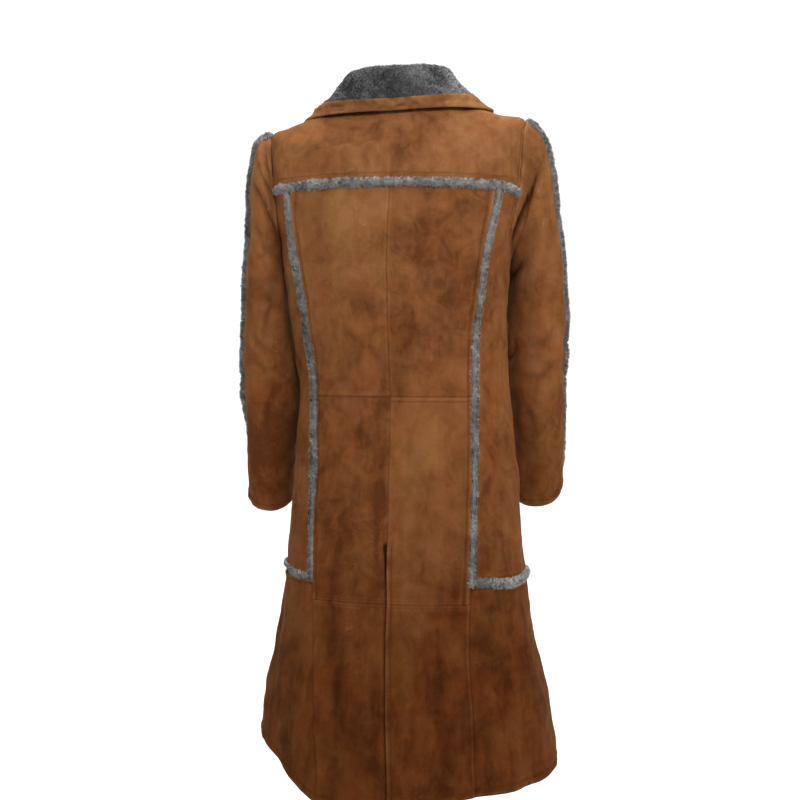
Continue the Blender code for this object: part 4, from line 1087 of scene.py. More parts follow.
def hairs(roots, normals, lean, pile, seed, scale=1.0):
    """Curved three-sided hairs: points (five each), rise from root to tip, and shading normals."""
    draw = np.random.default_rng(seed)
    count = len(roots)
    gather = ripple_slope(roots, pile.curl, seed + 1) * pile.gather
    way = unit(normals + lean + gather + draw.normal(size=(count, 3)) * pile.stray)
    long = pile.length * scale * np.clip(draw.normal(1.0, pile.spread, count), 0.45, 1.7)
    bow = unit(np.cross(way, draw.normal(size=(count, 3))))
    beside = unit(np.cross(way, bow))
    half = (pile.width / 2.0) * draw.uniform(0.8, 1.2, (count, 1))
    long = np.asarray(long).reshape(-1, 1)
    middle = roots + way * long * 0.52 + bow * long * 0.06
    tip = roots + way * long * 0.95 - bow * long * 0.16 + gather * long * 0.25
    base = roots - normals * 0.0006
    points = np.stack([base - beside * half, base + beside * half,
                       middle - beside * half * 0.9, middle + beside * half * 0.9, tip], 1)
    broad = np.cross(beside, way)
    shade = unit(unit(broad) * np.sign((broad * normals).sum(-1))[:, None] * (1.0 - SOFT_SHADE)
                 + (normals + way * 0.5) * SOFT_SHADE)
    rise = np.tile([0.0, 0.0, 0.55, 0.55, 1.0], count)
    return points.reshape(-1, 3), rise, np.repeat(shade, 5, 0)


NO_HAIR = np.empty((0, 3)), np.empty(0), np.empty((0, 3))


def hair_mesh(name, hair, tone, material):
    """Hairs as a mesh of their own."""
    points, rise, shade = hair
    start = (np.arange(len(points) // 5) * 5)[:, None]
    made = mesh_object(name, points, start + np.array([0, 1, 3, 2]), start + np.array([2, 3, 4]),
                       [material], rise=rise, tone=np.repeat(tone, 5))
    made.data.normals_split_custom_set_from_vertices(shade.tolist())
    return made


def furry(name, skin, skin_normals, skin_closed, hair, tones, material):
    """A piece of fur as one mesh: its skin's grid and the hairs on it."""
    rows, columns = skin.shape[:2]
    points, rise, shade = hair
    skin_points = skin.reshape(-1, 3)
    offset = len(skin_points)
    quads = grid_faces(rows, columns, closed=skin_closed)
    if faces_inward(quads, skin_points, skin_normals.reshape(-1, 3)):
        quads = quads[:, ::-1]
    ends = [fan(0, columns), fan((rows - 1) * columns, columns)[:, ::-1]]
    hair_count = len(points) // 5
    start = (offset + np.arange(hair_count) * 5)[:, None]
    quads = np.concatenate([quads, start + np.array([0, 1, 3, 2])])
    triangles = np.concatenate([*ends, start + np.array([2, 3, 4])])
    skin_tone, hair_tone = tones
    made = mesh_object(name, np.concatenate([skin_points, points]), quads, triangles, [material],
                       rise=np.concatenate([np.full(offset, 0.30), rise]),
                       tone=np.concatenate([skin_tone.ravel(), np.repeat(hair_tone, 5)]))
    normals = np.concatenate([unit(skin_normals.reshape(-1, 3)), shade])
    made.data.normals_split_custom_set_from_vertices(normals.tolist())
    return made


def fur_tone(points, seed, fine):
    """Patches of darker and paler fur, from -1 to 1 or so."""
    return (0.40 * ripple(points, 0.050, seed) + 0.35 * ripple(points, 0.017, seed + 1)
            + fine * ripple(points, 0.007, seed + 2))


def hair_tones(skin, roots, seed, fine=0.30, speckle=0.45):
    """The tone at each of the skin's points, and of each hair, which is speckled as well."""
    stray = np.random.default_rng(seed + 3).normal(size=len(roots)) * speckle
    return fur_tone(skin, seed, fine), fur_tone(roots, seed, fine) + stray


# ---- materials -----------------------------------------------------------------------------------

class Look:
    """A material and short ways to add nodes to it."""

    def __init__(self, name, roughness, specular=0.5, sheen=0.0, sheen_roughness=0.5,
                 sheen_tint=(1.0, 1.0, 1.0), coat=0.0):
        self.material = bpy.data.materials.new(name)
        self.material.use_nodes = True
        self.tree = self.material.node_tree
        self.shader = self.tree.nodes["Principled BSDF"]
        settings = {"Roughness": roughness, "Specular IOR Level": specular, "Sheen Weight": sheen,
                    "Sheen Roughness": sheen_roughness, "Sheen Tint": (*sheen_tint, 1.0),
                    "Coat Weight": coat, "Coat Roughness": 0.25}
        for socket, value in settings.items():
            self.shader.inputs[socket].default_value = value
        self.place = self.tree.nodes.new("ShaderNodeTexCoord").outputs["Object"]

    def node(self, kind, *values, **settings):
        """A new node; values go to its inputs in order, and a socket among them is joined."""
        made = self.tree.nodes.new("ShaderNode" + kind)
        for key, value in settings.items():
            setattr(made, key, value)
        for socket, value in zip(made.inputs, values):
            if isinstance(value, bpy.types.NodeSocket):
                self.tree.links.new(value, socket)
            elif value is not None:
                socket.default_value = value
        return made

    def noise(self, scale, detail=3.0, roughness=0.5, distortion=0.0, stretch=None):
        place = self.place
        if stretch:
            place = self.node("VectorMath", place, stretch, operation="MULTIPLY").outputs[0]
        made = self.node("TexNoise", place)
        for socket, value in (("Scale", scale), ("Detail", detail), ("Roughness", roughness),
                              ("Distortion", distortion)):
            made.inputs[socket].default_value = value
        return made.outputs["Fac"]

    def calc(self, operation, first, second=0.0):
        return self.node("Math", first, second, operation=operation).outputs[0]

    def span(self, value, low, high, to_low=0.0, to_high=1.0):
        """value moved from one range to another, and kept within it."""
        return self.node("MapRange", value, low, high, to_low, to_high).outputs[0]

    def ramp(self, value, stops):
        """Colours by value, from (value, colour) stops in rising order."""
        low, high = stops[0][0], stops[-1][0]
        made = self.node("ValToRGB", self.span(value, low, high))
        points = made.color_ramp.elements
        for place, colour in stops[1:-1]:
            points.new((place - low) / (high - low))
        for point, (place, colour) in zip(points, stops):
            point.color = (*colour, 1.0)
        return made.outputs["Color"]

    def attribute(self, name):
        return self.node("Attribute", attribute_name=name).outputs["Fac"]

    def mix(self, factor, first, second, blend="MIX"):
        made = self.tree.nodes.new("ShaderNodeMix")
        made.data_type, made.blend_type = "RGBA", blend
        for socket, value in ((made.inputs[0], factor), (made.inputs[6], first),
                              (made.inputs[7], second)):
            if isinstance(value, bpy.types.NodeSocket):
                self.tree.links.new(value, socket)
            elif isinstance(value, tuple):
                socket.default_value = (*value, 1.0)
            else:
                socket.default_value = value
        return made.outputs[2]

    def finish(self, colour, height=None, distance=0.001, strength=1.0, roughness=None):
        self.tree.links.new(colour, self.shader.inputs["Base Color"])
        if roughness is not None:
            self.tree.links.new(roughness, self.shader.inputs["Roughness"])
        if height is not None:
            bump = self.tree.nodes.new("ShaderNodeBump")
            bump.inputs["Strength"].default_value = strength
            bump.inputs["Distance"].default_value = distance
            self.tree.links.new(height, bump.inputs["Height"])
            self.tree.links.new(bump.outputs[0], self.shader.inputs["Normal"])
        return self.material


SUEDE_DARK = (0.125, 0.0445, 0.0154)
SUEDE_MIDDLE = (0.238, 0.0930, 0.0350)
SUEDE_PALE = (0.325, 0.142, 0.0600)
SUEDE_RUBBED = (0.560, 0.300, 0.150)
SUEDE_DEEP = (0.014, 0.0045, 0.0015)   # down in seams and the folds that no light reaches
OLIVE_TINT, RED_TINT = (0.96, 1.03, 0.94), (1.03, 0.95, 0.88)

# Painted shade down the coat, darker and redder towards the hem where less light falls: height, and
# the share of red, green and blue that it leaves.
PAINTED_FALLOFF = (
    (-1.10, (0.425, 0.32, 0.215)),
    (-0.88, (0.45, 0.345, 0.235)),
    (-0.77, (0.545, 0.445, 0.335)),
    (-0.68, (0.72, 0.645, 0.56)),
    (-0.50, (0.825, 0.755, 0.67)),
    (-0.20, (0.90, 0.87, 0.82)),
    (-0.10, (1.00, 1.00, 1.00)),
    (0.10, (1.00, 1.00, 1.00)),
)


def suede():
    """Cognac suede: cloudy dye, brushed nap, fine grain, paler where it is rubbed, and painted shade in
    creases, seams and lower down.
    """
    look = Look("suede", 0.95, specular=0.03, sheen=0.07, sheen_roughness=0.4,
                sheen_tint=(1.0, 0.58, 0.30))
    cloud = look.noise(8.0, 4.0, 0.56, 0.7)
    patch = look.noise(27.0, 4.0, 0.62, 0.9)
    stroke = look.noise(62.0, 2.0, 0.50, 0.8, stretch=(1.0, 1.0, 0.36))
    tone = look.calc("ADD", look.calc("MULTIPLY", cloud, 0.46),
                     look.calc("ADD", look.calc("MULTIPLY", patch, 0.36),
                               look.calc("MULTIPLY", stroke, 0.18)))
    # the patches' tone: the hides' and the nap's own, with painted shade and painted light
    tone = look.calc("ADD", tone, look.calc("MULTIPLY", look.attribute("paler"), 0.075))
    streak = look.calc("MULTIPLY", look.calc("SUBTRACT", look.noise(34.0, 3.0, 0.55, 0.7,
                                                                    stretch=(1.0, 1.0, 0.22)), 0.5),
                       look.span(look.node("SeparateXYZ", look.place).outputs["Z"],
                                 -0.60, -0.80, 0.08, 0.38))
    tone = look.calc("ADD", tone, streak)
    colour = look.mix(look.span(tone, 0.36, 0.50), SUEDE_DARK, SUEDE_MIDDLE)
    colour = look.mix(look.span(tone, 0.50, 0.65), colour, SUEDE_PALE)
    # the hue leans olive where the patches are paler and red where darker, painted shade and light among
    # them
    paler_shift = look.calc("MULTIPLY", look.attribute("paler"), 0.07)
    olive = look.span(look.calc("ADD", look.noise(12.0, 3.0, 0.55, 0.6), paler_shift), 0.46, 0.60)
    colour = look.mix(olive, colour, look.mix(1.0, colour, OLIVE_TINT, "MULTIPLY"))
    red = look.span(look.calc("SUBTRACT", look.noise(19.0, 3.0, 0.60, 1.1), paler_shift), 0.47, 0.60)
    colour = look.mix(red, colour, look.mix(1.0, colour, RED_TINT, "MULTIPLY"))
    grain = look.noise(620.0, 3.0, 0.6)
    colour = look.mix(look.span(grain, 0.30, 0.70, 0.0, 0.22), colour, SUEDE_DARK)
    height = look.node("SeparateXYZ", look.place).outputs["Z"]
    # painted shade, darker and redder towards the hem
    colour = look.mix(1.0, colour, look.ramp(height, PAINTED_FALLOFF), "MULTIPLY")
    scratch = 0.0
    for scale, width, pale in ((30.0, 0.008, 0.28), (64.0, 0.014, 0.14)):
        line = look.noise(scale, 2.0, 0.5, 3.0)
        off_line = look.calc("ABSOLUTE", look.calc("SUBTRACT", line, 0.5))
        scratch = look.calc("ADD", scratch, look.calc(
            "MULTIPLY", look.span(off_line, 0.0, width, pale, 0.0),
            look.span(look.noise(0.3 * scale + 1.0, 2.0), 0.50, 0.60)))
    worn = look.attribute("worn")
    rubbing_and_shade = look.calc("MULTIPLY", worn, look.span(patch, 0.38, 0.62, 0.20, 0.80))
    colour = look.mix(look.calc("ADD", look.span(rubbing_and_shade, 0.0, 1.0), scratch), colour,
                      look.mix(1.0, SUEDE_RUBBED, look.ramp(height, PAINTED_FALLOFF), "MULTIPLY"))
    # painted shade in the creases, seams, stitching and the vent's slit
    colour = look.mix(look.span(worn, -1.0, 0.0, 0.92, 0.0), colour, SUEDE_DEEP)
    nap = look.calc("ADD", grain, look.calc("MULTIPLY", look.noise(170.0, 3.0, 0.6, 1.0), 0.9))
    return look.finish(colour, nap, distance=0.0008, strength=0.6)


def fleece():
    """The grey clipped wool on the inside of the hides."""
    look = Look("fleece", 0.98, specular=0.05, sheen=0.4, sheen_roughness=0.6)
    curl = look.noise(190.0, 4.0, 0.65, 1.5)
    patch = look.noise(24.0, 3.0)
    colour = look.mix(look.span(curl, 0.36, 0.62), (0.045, 0.047, 0.050), (0.235, 0.240, 0.245))
    colour = look.mix(look.span(patch, 0.40, 0.66, 0.0, 0.5), colour, (0.080, 0.083, 0.088))
    return look.finish(colour, curl, distance=0.004, strength=1.0)


def fur(name, root, dark, pale):
    """Grey fur: deep and dark at the roots, in darker and paler patches towards the tips."""
    look = Look(name, 0.95, specular=0.08, sheen=0.15, sheen_roughness=0.5)
    tone = look.attribute("tone")
    tips = look.mix(look.span(tone, -1.0, 1.1), dark, pale)
    colour = look.mix(look.span(look.attribute("rise"), 0.0, 0.85), root, tips)
    return look.finish(colour)


def thread():
    look = Look("thread", 0.8, specular=0.05)
    twist = look.noise(900.0, 2.0)
    return look.finish(look.mix(twist, (0.070, 0.024, 0.008), (0.150, 0.058, 0.022)))


def horn():
    """Dark polished horn for the buttons."""
    look = Look("horn", 0.32, specular=0.5, coat=0.25)
    streak = look.noise(120.0, 5.0, 0.6, 2.2, stretch=(1.0, 1.0, 0.25))
    colour = look.mix(look.span(streak, 0.35, 0.68), (0.022, 0.011, 0.006), (0.135, 0.062, 0.028))
    return look.finish(colour, streak, distance=0.0003, strength=0.2)


# ---- panels of the coat --------------------------------------------------------------------------

HANDS = ((1, "left"), (-1, "right"))


def body_panel(name, side, first, last, start, stop, seams, lift=None, armhole=None, grid=GRID):
    """A panel of the body; armhole is (edge, +1 for the back or -1 for the front)."""
    panel = Panel(name, lambda across, along: body(side * across, along),
                  lambda across, along: body_normal(side * across, along), first, last, start,
                  stop, grid)
    armholes = ()
    if armhole:
        edge, back = armhole
        armholes = ((edge, side, back * np.maximum(panel.along - TIP, 0.0),
                     armhole_share(panel.along)),)
    shape_panel(panel, "body", seams, lift, armholes)
    return panel


def yoke_panel():
    """The yoke, one piece over both shoulders."""
    panel = Panel("yoke", body, body_normal, lambda row: -arm_back(row), arm_back, 0.0, YOKE)
    around = np.maximum(panel.along - TIP, 0.0)
    shoulder = (("plain", TIP), ("armhole", YOKE + 1.0))
    seams = {"top": "none", "bottom": "yoke", "first": shoulder, "last": shoulder}
    shape_panel(panel, "body", seams,
                armholes=(("first", -1, around, armhole_share(panel.along)),
                          ("last", 1, around, armhole_share(panel.along))))
    return [("back_yoke", panel)]


def front_lift(panel):
    """How far the right front stands off the left front that it covers."""
    return LAP_LIFT * smooth_step(LAP_START, LAP_FULL, panel.across)


def body_panels():
    made = yoke_panel()
    side_seam = (("armhole", UNDERARM), ("plain", HEM_ROW + 1.0))
    shoulder = (("plain", TIP), ("armhole", UNDERARM), ("plain", HEM_ROW + 1.0))
    for side, hand in HANDS:
        over = side < 0
        vent = "vent" if over else "vent_under"
        centre = functools.partial(vent_edge, side)
        tuck = None if over else vent_tuck
        for node, name, first, last, start, stop, seams, more in (
            ("back_upper", "upper_back", centre, princess, YOKE, WAIST,
             ("centre", "piped", "under", "under" if over else "plain"), {}),
            ("back_middle", "lower_back", centre, princess, WAIST, THIGH,
             ((("centre", VENT), (vent, HEM_ROW + 1.0)), "piped",
              "lapped" if over else "plain", "faint"), {"lift": tuck}),
            ("back_skirt", "back_skirt_shell", centre, princess, THIGH, HEM_ROW,
             (vent, "lapped" if over else "plain", "faint", "turned"), {"lift": tuck}),
            ("side", "side_body", princess, arm_back, YOKE, HIP_TRIM,
             ("piped_under", side_seam, "under", "piped_under"), {"armhole": ("last", 1)}),
            ("side_skirt", "side_skirt_shell", princess, arm_back, HIP_TRIM, HEM_ROW,
             ("under", "plain", "piped", "turned"), {}),
            ("front", "front_body", arm_front, lambda row: np.full_like(row, FRONT_EDGE),
             0.0, HEM_ROW, (shoulder, "turned", "none", "turned"),
             {"lift": front_lift if over else None, "armhole": ("first", -1),
              "grid": COARSE_GRID}),
        ):
            kinds = dict(zip(("first", "last", "top", "bottom"), seams))
            made.append((f"{node}_{hand}", body_panel(f"{name}_{hand}", side, first, last, start,
                                                      stop, kinds, **more)))
    return made


def sleeve_panels():
    made = []
    for side, hand in HANDS:
        for face, back in (("back", 1.0), ("front", -1.0)):
            panel = Panel(f"{face}_sleeve_{hand}",
                          lambda across, along: sleeve(side, back * across, along),
                          lambda across, along: sleeve_normal(side, back * across, along),
                          np.zeros_like, lambda along: np.full_like(along, AROUND), 0.0, STATIONS,
                          FINE_GRID if face == "back" else GRID)
            shape_panel(panel, f"sleeve_{hand}",
                        {"first": "piped_under", "last": "plain", "top": "sleeve_head",
                         "bottom": "turned"},
                        armholes=(("top", side, back * panel.across, 1.0),))
            made.append((f"sleeve_{face}_{hand}", panel))
    return made


CROSSING = 0.0045        # no stitch lies nearer than this to another edge of its panel


def panel_stitches(panel):
    """The runs of topstitching along a panel's edges."""
    runs = []
    for edge, kinds in panel.seams.items():
        for kind, weight in kinds_along(kinds, panel.along):
            distance = SEAMS[kind].stitch
            if not distance:
                continue
            across = edge in ("top", "bottom")
            if not across:
                distance = distance * seam_spread(kind, panel.along[:, 0])
            line, facing = line_on(panel, edge, distance)
            keep = weight[EDGES[edge]] > 0.5
            run = lengths(line[:, None], 0)[:, 0]
            keep = keep & (run > CROSSING) & (run < run[-1] - CROSSING)
            if across or keep.any():
                runs.append(stitch_run(line, facing, keep))
    return runs


# ---- fur piping ----------------------------------------------------------------------------------

# Each strip: how wide it is at even places from one end to the other, in shares of TRIM_WIDTH, and
# how many times STRIP_HEIGHT it stands.
Strip = namedtuple("Strip", "node path widths seed rise", defaults=(1.0,))
STRIP_STEP = 0.0020
STRIP_COLUMNS = 13
STRIP_HEIGHT = 0.0038    # of the skin under the hairs
STRIP_SINK = 0.0025      # how far the skin's edges are sewn down into the seam
STRIP_FAN = 0.95         # how far hairs lean outwards at a strip's sides
STRIP_END = 0.006        # over which a strip rounds off at its ends
END_SHARE = 0.35
YOKE_STRIP = (0.90, 1.06, 1.02, 0.94, 1.00, 1.05, 1.02, 0.85)
BACK_STRIPS = {1: (0.66, 1.14, 1.18, 1.10, 1.10, 1.04, 0.74, 0.70),
               -1: (0.68, 0.90, 0.72, 0.86, 0.94, 0.70, 0.68, 0.70)}
HIP_STRIPS = {1: (0.74, 0.74, 0.52, 0.46, 0.70, 0.80, 0.70),
              -1: (0.92, 1.05, 1.04, 1.00, 1.00, 1.00, 0.85)}
SLEEVE_STRIPS = {1: (1.15, 1.10, 1.15, 1.20, 1.40, 1.65, 0.85, 0.65),
                 -1: (1.10, 1.20, 1.15, 1.10, 1.10, 1.00, 0.85, 0.65)}
SLEEVE_RISE = 1.7
# How much paler each strip is, and how much more so at its (x, z) places.
STRIP_PALER = {"trim_yoke": 0.25, "trim_sleeve_left": -0.20, "trim_sleeve_right": -0.15}


def strip_paler(node, points):
    x, z = points[..., 0], points[..., 2]
    paler = STRIP_PALER.get(node, 0.0) + 0.0 * x
    if node == "trim_yoke":
        paler = paler + 0.9 * smooth_step(0.150, 0.185, x) + 0.4 * smooth_step(-0.160, -0.190, x)
    if "back" in node:
        paler = paler + 0.5 * smooth_step(-0.35, -0.15, z)
    if "hip" in node:
        paler = paler + 0.9 * smooth_step(0.160, 0.185, np.abs(x))
    return paler


def even_path(surface, facing, across, along, part):
    """Points and normals every STRIP_STEP down a line on a part's surface, creases and all."""
    points = surface(across, along)
    run = lengths(points[:, None], 0)[:, 0]
    places = np.linspace(0.0, run[-1], int(run[-1] / STRIP_STEP))
    across, along = np.interp(places, run, across), np.interp(places, run, along)
    line, out = surface(across, along), facing(across, along)
    return line + out * (swells(line) - creases(part, line, out)[0])[:, None], out


def yoke_path():
    """Straight across the back, and a little down at both ends."""
    degrees = np.linspace(-72.6, 66.0, 200)
    rows = (YOKE + 0.24 * smooth_step(-56.0, -74.0, degrees)
            + 0.10 * smooth_step(60.0, 68.0, degrees))
    return even_path(body, body_normal, degrees, rows, "body")


def princess_path(side):
    step = TRIM_WIDTH * 0.42 / 0.045
    rows = np.linspace(YOKE + step, HIP_TRIM + 0.20, 200)
    return even_path(body, body_normal, side * princess(rows), rows, "body")


def hip_path(side):
    degrees = np.linspace(princess(HIP_TRIM) + 1.2, 90.0 + 80.0 * 2.0 / 7.0, 160)
    bend = -0.16 * smooth_step(45.0, 75.0, degrees) if side > 0 else 0.14 * np.exp(
        -((degrees - 64.0) / 14.0) ** 2)
    return even_path(body, body_normal, side * degrees, HIP_TRIM + bend, "body")


def sleeve_path(side, hand):
    stations = np.linspace(0.18, STATIONS - 0.18, 200)
    return even_path(lambda across, along: sleeve(side, across, along),
                     lambda across, along: sleeve_normal(side, across, along),
                     np.zeros_like(stations), stations, f"sleeve_{hand}")


def strips():
    made = [Strip("trim_yoke", yoke_path(), YOKE_STRIP, 100)]
    for side, hand in HANDS:
        made.append(Strip(f"trim_back_{hand}", princess_path(side), BACK_STRIPS[side], 110 + side))
        made.append(Strip(f"trim_hip_{hand}", hip_path(side), HIP_STRIPS[side], 120 + side))
        made.append(Strip(f"trim_sleeve_{hand}", sleeve_path(side, hand), SLEEVE_STRIPS[side],
                          130 + side, SLEEVE_RISE))
    return made


def strip_piece(strip, material):
    """One strip of piping: a low rounded skin with hairs that fan out from it."""
    line, facing = strip.path
    way = unit(np.gradient(line, axis=0))
    beside = unit(np.cross(way, facing))
    run = lengths(line[:, None], 0)[:, 0]
    share = run / run[-1]
    uneven = (1.0 + 0.05 * ripple(line, 0.045, strip.seed)
              + 0.05 * ripple(line, 0.015, strip.seed + 1))
    end = np.sqrt(np.clip(np.minimum(run, run[-1] - run) / STRIP_END, 0.0, 1.0))
    end = END_SHARE + (1.0 - END_SHARE) * end
    half = TRIM_WIDTH / 2.0 * spline(strip.widths, share * (len(strip.widths) - 1))
    half = (half * uneven * end)[:, None, None]
    turn = np.linspace(0.0, math.pi, STRIP_COLUMNS)[None, :, None]
    height = STRIP_HEIGHT * strip.rise * (0.6 + 0.4 * half / (TRIM_WIDTH / 2.0))
    skin = (line[:, None] - facing[:, None] * STRIP_SINK
            + beside[:, None] * half * 0.86 * np.cos(turn)
            + facing[:, None] * (height + STRIP_SINK) * np.sin(turn) ** 0.8)
    normals = unit(beside[:, None] * np.cos(turn) + facing[:, None] * (np.sin(turn) + 0.25))
    skin = skin + normals * (0.0006 * ripple(skin.reshape(-1, 3), 0.008, strip.seed + 2)
                             .reshape(skin.shape[:2])[..., None])
    roots, root_normals, (row, column) = roots_on(skin, normals, STRIP_PILE.density, strip.seed + 3)
    spread = np.cos(column / (STRIP_COLUMNS - 1.0) * math.pi)[:, None]
    index = np.clip(row.astype(int), 0, len(line) - 1)
    lean = beside[index] * spread * STRIP_FAN * 0.35 + way[index] * 0.15
    scale = 0.55 + 0.45 * (half[index, 0, 0] / (TRIM_WIDTH / 2.0))
    hair = hairs(roots, root_normals, lean, STRIP_PILE, strip.seed + 4, scale)
    tones = [tone + strip_paler(strip.node, places) for tone, places in
             zip(hair_tones(skin, roots, strip.seed + 5), (skin, roots))]
    return furry(strip.node.replace("trim", "fur"), skin, normals, False, hair, tones, material)


# ---- collar --------------------------------------------------------------------------------------

COLLAR_STEP = 0.0030
FUR_INSET = 0.0030       # the collar's skin lies this far inside the reach of its fur
BAND_HUG = 0.9
COLLAR_ROUND, BAND_ROUND = 0.006, 0.004  # over which their ends at the throat are rounded


def collar_surface(section, angles, count, outer, hug=0.0):
    """A closed section swept round the neckline: a grid of points and its outward normals.

    outer is a column that lies on the section's outer side. hug draws the section's outer bottom
    in between the back and the sides, as the body rounds there.
    """
    folds = np.array(section)
    closed = np.concatenate([folds[-1:], folds, folds[:2]])
    places = np.linspace(1.0, len(folds) + 1.0, count + 1)[:-1]
    smooth = spline(closed, places)
    angle = np.radians(angles)[:, None]
    seat = body(angles, np.zeros_like(angles))[:, None]
    middle = stand(np.stack([0.0 * seat[..., 0], 0.0 * seat[..., 0], seat[..., 2]], -1))
    outward = unit((seat - middle) * np.array((1.0, 1.0, 0.0)))
    power = 2.0 - (hug * smooth_step(1.0, 3.0, places - 1.0)
                   * (1.0 - smooth_step(5.0, 6.6, places - 1.0)))
    out = by_side(smooth[:, 0], smooth[:, 2], smooth[:, 4], np.cos(angle), power)
    up = by_side(smooth[:, 1], smooth[:, 3], smooth[:, 5], np.cos(angle), power)
    rise = up - SHOULDER_TILT * outward[..., 0] * out
    points = seat + outward * out[..., None] + np.array((0.0, 0.0, 1.0)) * rise[..., None]
    round_it = np.roll(points, -1, 1) - np.roll(points, 1, 1)
    along = np.gradient(points, axis=0)
    normals = unit(np.cross(round_it, along))
    ring = len(angles) // 2
    if (normals[ring, outer] * (points[ring, outer] - points[ring].mean(0))).sum() < 0.0:
        normals = -normals
    return points, normals, places - 1.0


def collar_angles():
    fine = np.linspace(-COLLAR_END, COLLAR_END, 400)
    run = lengths(body(fine, 0.0)[:, None], 0)[:, 0]
    return np.interp(np.linspace(0.0, run[-1], int(run[-1] * 1.25 / COLLAR_STEP)), run, fine)


def rounded_ends(points, reach):
    """Draws a sweep's last sections in towards their middles, so that its ends are round."""
    centre = points.mean(1, keepdims=True)
    run = lengths(centre, 0)[:, 0]
    near = np.clip(np.minimum(run, run[-1] - run) / reach, 0.0, 1.0)
    size = np.sqrt(1.0 - (1.0 - near) ** 2)[:, None, None]
    return centre + (points - centre) * (0.04 + 0.96 * size)


def declare_folded(points):
    """Works out a swept closed piece's longest run and half of its girth, and does nothing further with
    them.
    """
    girth = np.linalg.norm(np.roll(points, -1, 1) - points, axis=-1).sum(1)
    width, length = float(girth.max()) / 2.0, float(lengths(points, 0)[-1].max())


def collar_painted_light(points):
    """Painted light on the collar's fur: paler along its fold and towards the wearer's right end, where
    the light falls, darker elsewhere.
    """
    x, z = points[..., 0], points[..., 2]
    return (1.9 * smooth_step(-0.070, -0.100, x) + 0.45 * smooth_step(0.055, 0.072, z)
            + 0.35 * smooth_step(0.0, -0.040, x) - 0.55)


def collar_pieces(fur_material, suede_material):
    angles = collar_angles()
    points, normals, places = collar_surface(COLLAR, angles, 72, 22)
    furred = (smooth_step(0.15, 0.9, places) * (1.0 - smooth_step(6.6, 7.1, places)))[None, :]
    skin = points - normals * (FUR_INSET * furred)[..., None]
    flat = skin.reshape(-1, 3)
    lumps = 0.0009 * ripple(flat, 0.045, 201) + 0.0004 * ripple(flat, 0.014, 202)
    skin = skin + normals * (lumps.reshape(skin.shape[:2]) * furred)[..., None]
    skin = rounded_ends(skin, COLLAR_ROUND)
    wrapped = np.concatenate([skin, skin[:, :1]], 1), np.concatenate([normals, normals[:, :1]], 1)
    share = np.concatenate([furred, furred[:, :1]], 1) * np.ones((len(angles), 1))
    roots, root_normals, _ = roots_on(*wrapped, COLLAR_PILE.density, 210, share)
    down = np.array((0.0, 0.0, -1.0)) * 0.25
    hair = hairs(roots, root_normals, down + np.zeros_like(roots), COLLAR_PILE, 211)
    tones = [tone + collar_painted_light(places) for tone, places in
             zip(hair_tones(skin, roots, 212, 0.10, 0.60), (skin, roots))]
    collar = furry("collar_skin", skin, normals, True, NO_HAIR, (tones[0], np.empty(0)),
                   fur_material)
    pile = hair_mesh("collar_pile", hair, tones[1], fur_material)
    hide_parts("collar_fur")
    declare_folded(skin)

    points, normals, places = collar_surface(BAND, angles, 40, 10, BAND_HUG)
    flat = points.reshape(-1, 3)
    inner = smooth_step(0.6, 2.0, places) * (1.0 - smooth_step(3.0, 4.0, places))
    inner = np.tile(inner, len(points))
    height = (0.0012 * ripple(flat, 0.038, 221) + 0.0009 * ripple(flat, 0.014, 222)) * inner
    points = rounded_ends(points + normals * height.reshape(points.shape[:2])[..., None],
                          BAND_ROUND)
    quads = grid_faces(*points.shape[:2], closed=True)
    count = points.shape[1]
    fans = [fan(0, count), fan((len(points) - 1) * count, count)[:, ::-1]]
    if faces_inward(quads, flat, normals.reshape(-1, 3)):
        quads, fans = quads[:, ::-1], [end[:, ::-1] for end in fans]
    worn = 0.5 * groove(places, 1.0, 0.35) + 0.25 * groove(places, 4.0, 0.5)
    # the band's rubbed edges, with painted shade in the hollows of its ripples and painted highlight on
    # their crests
    made = mesh_object("collar_edge", points.reshape(-1, 3), quads, np.concatenate(fans),
                       [suede_material], worn=np.tile(worn, len(points)) + 120.0 * height.ravel(),
                       paler=np.full(points.shape[:2], 0.6))
    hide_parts("collar_band")
    declare_folded(points)
    return collar, pile, made


# ---- buttons -------------------------------------------------------------------------------------

BUTTON_RADIUS, BUTTON_THICKNESS = 0.0125, 0.0040
BUTTON_RIM, BUTTON_BOWL, BUTTON_ROUND = 0.0095, 0.0009, 0.0012
HOLE_CIRCLE, HOLE_RADIUS, HOLE_DEPTH = 0.0026, 0.0010, 0.0016


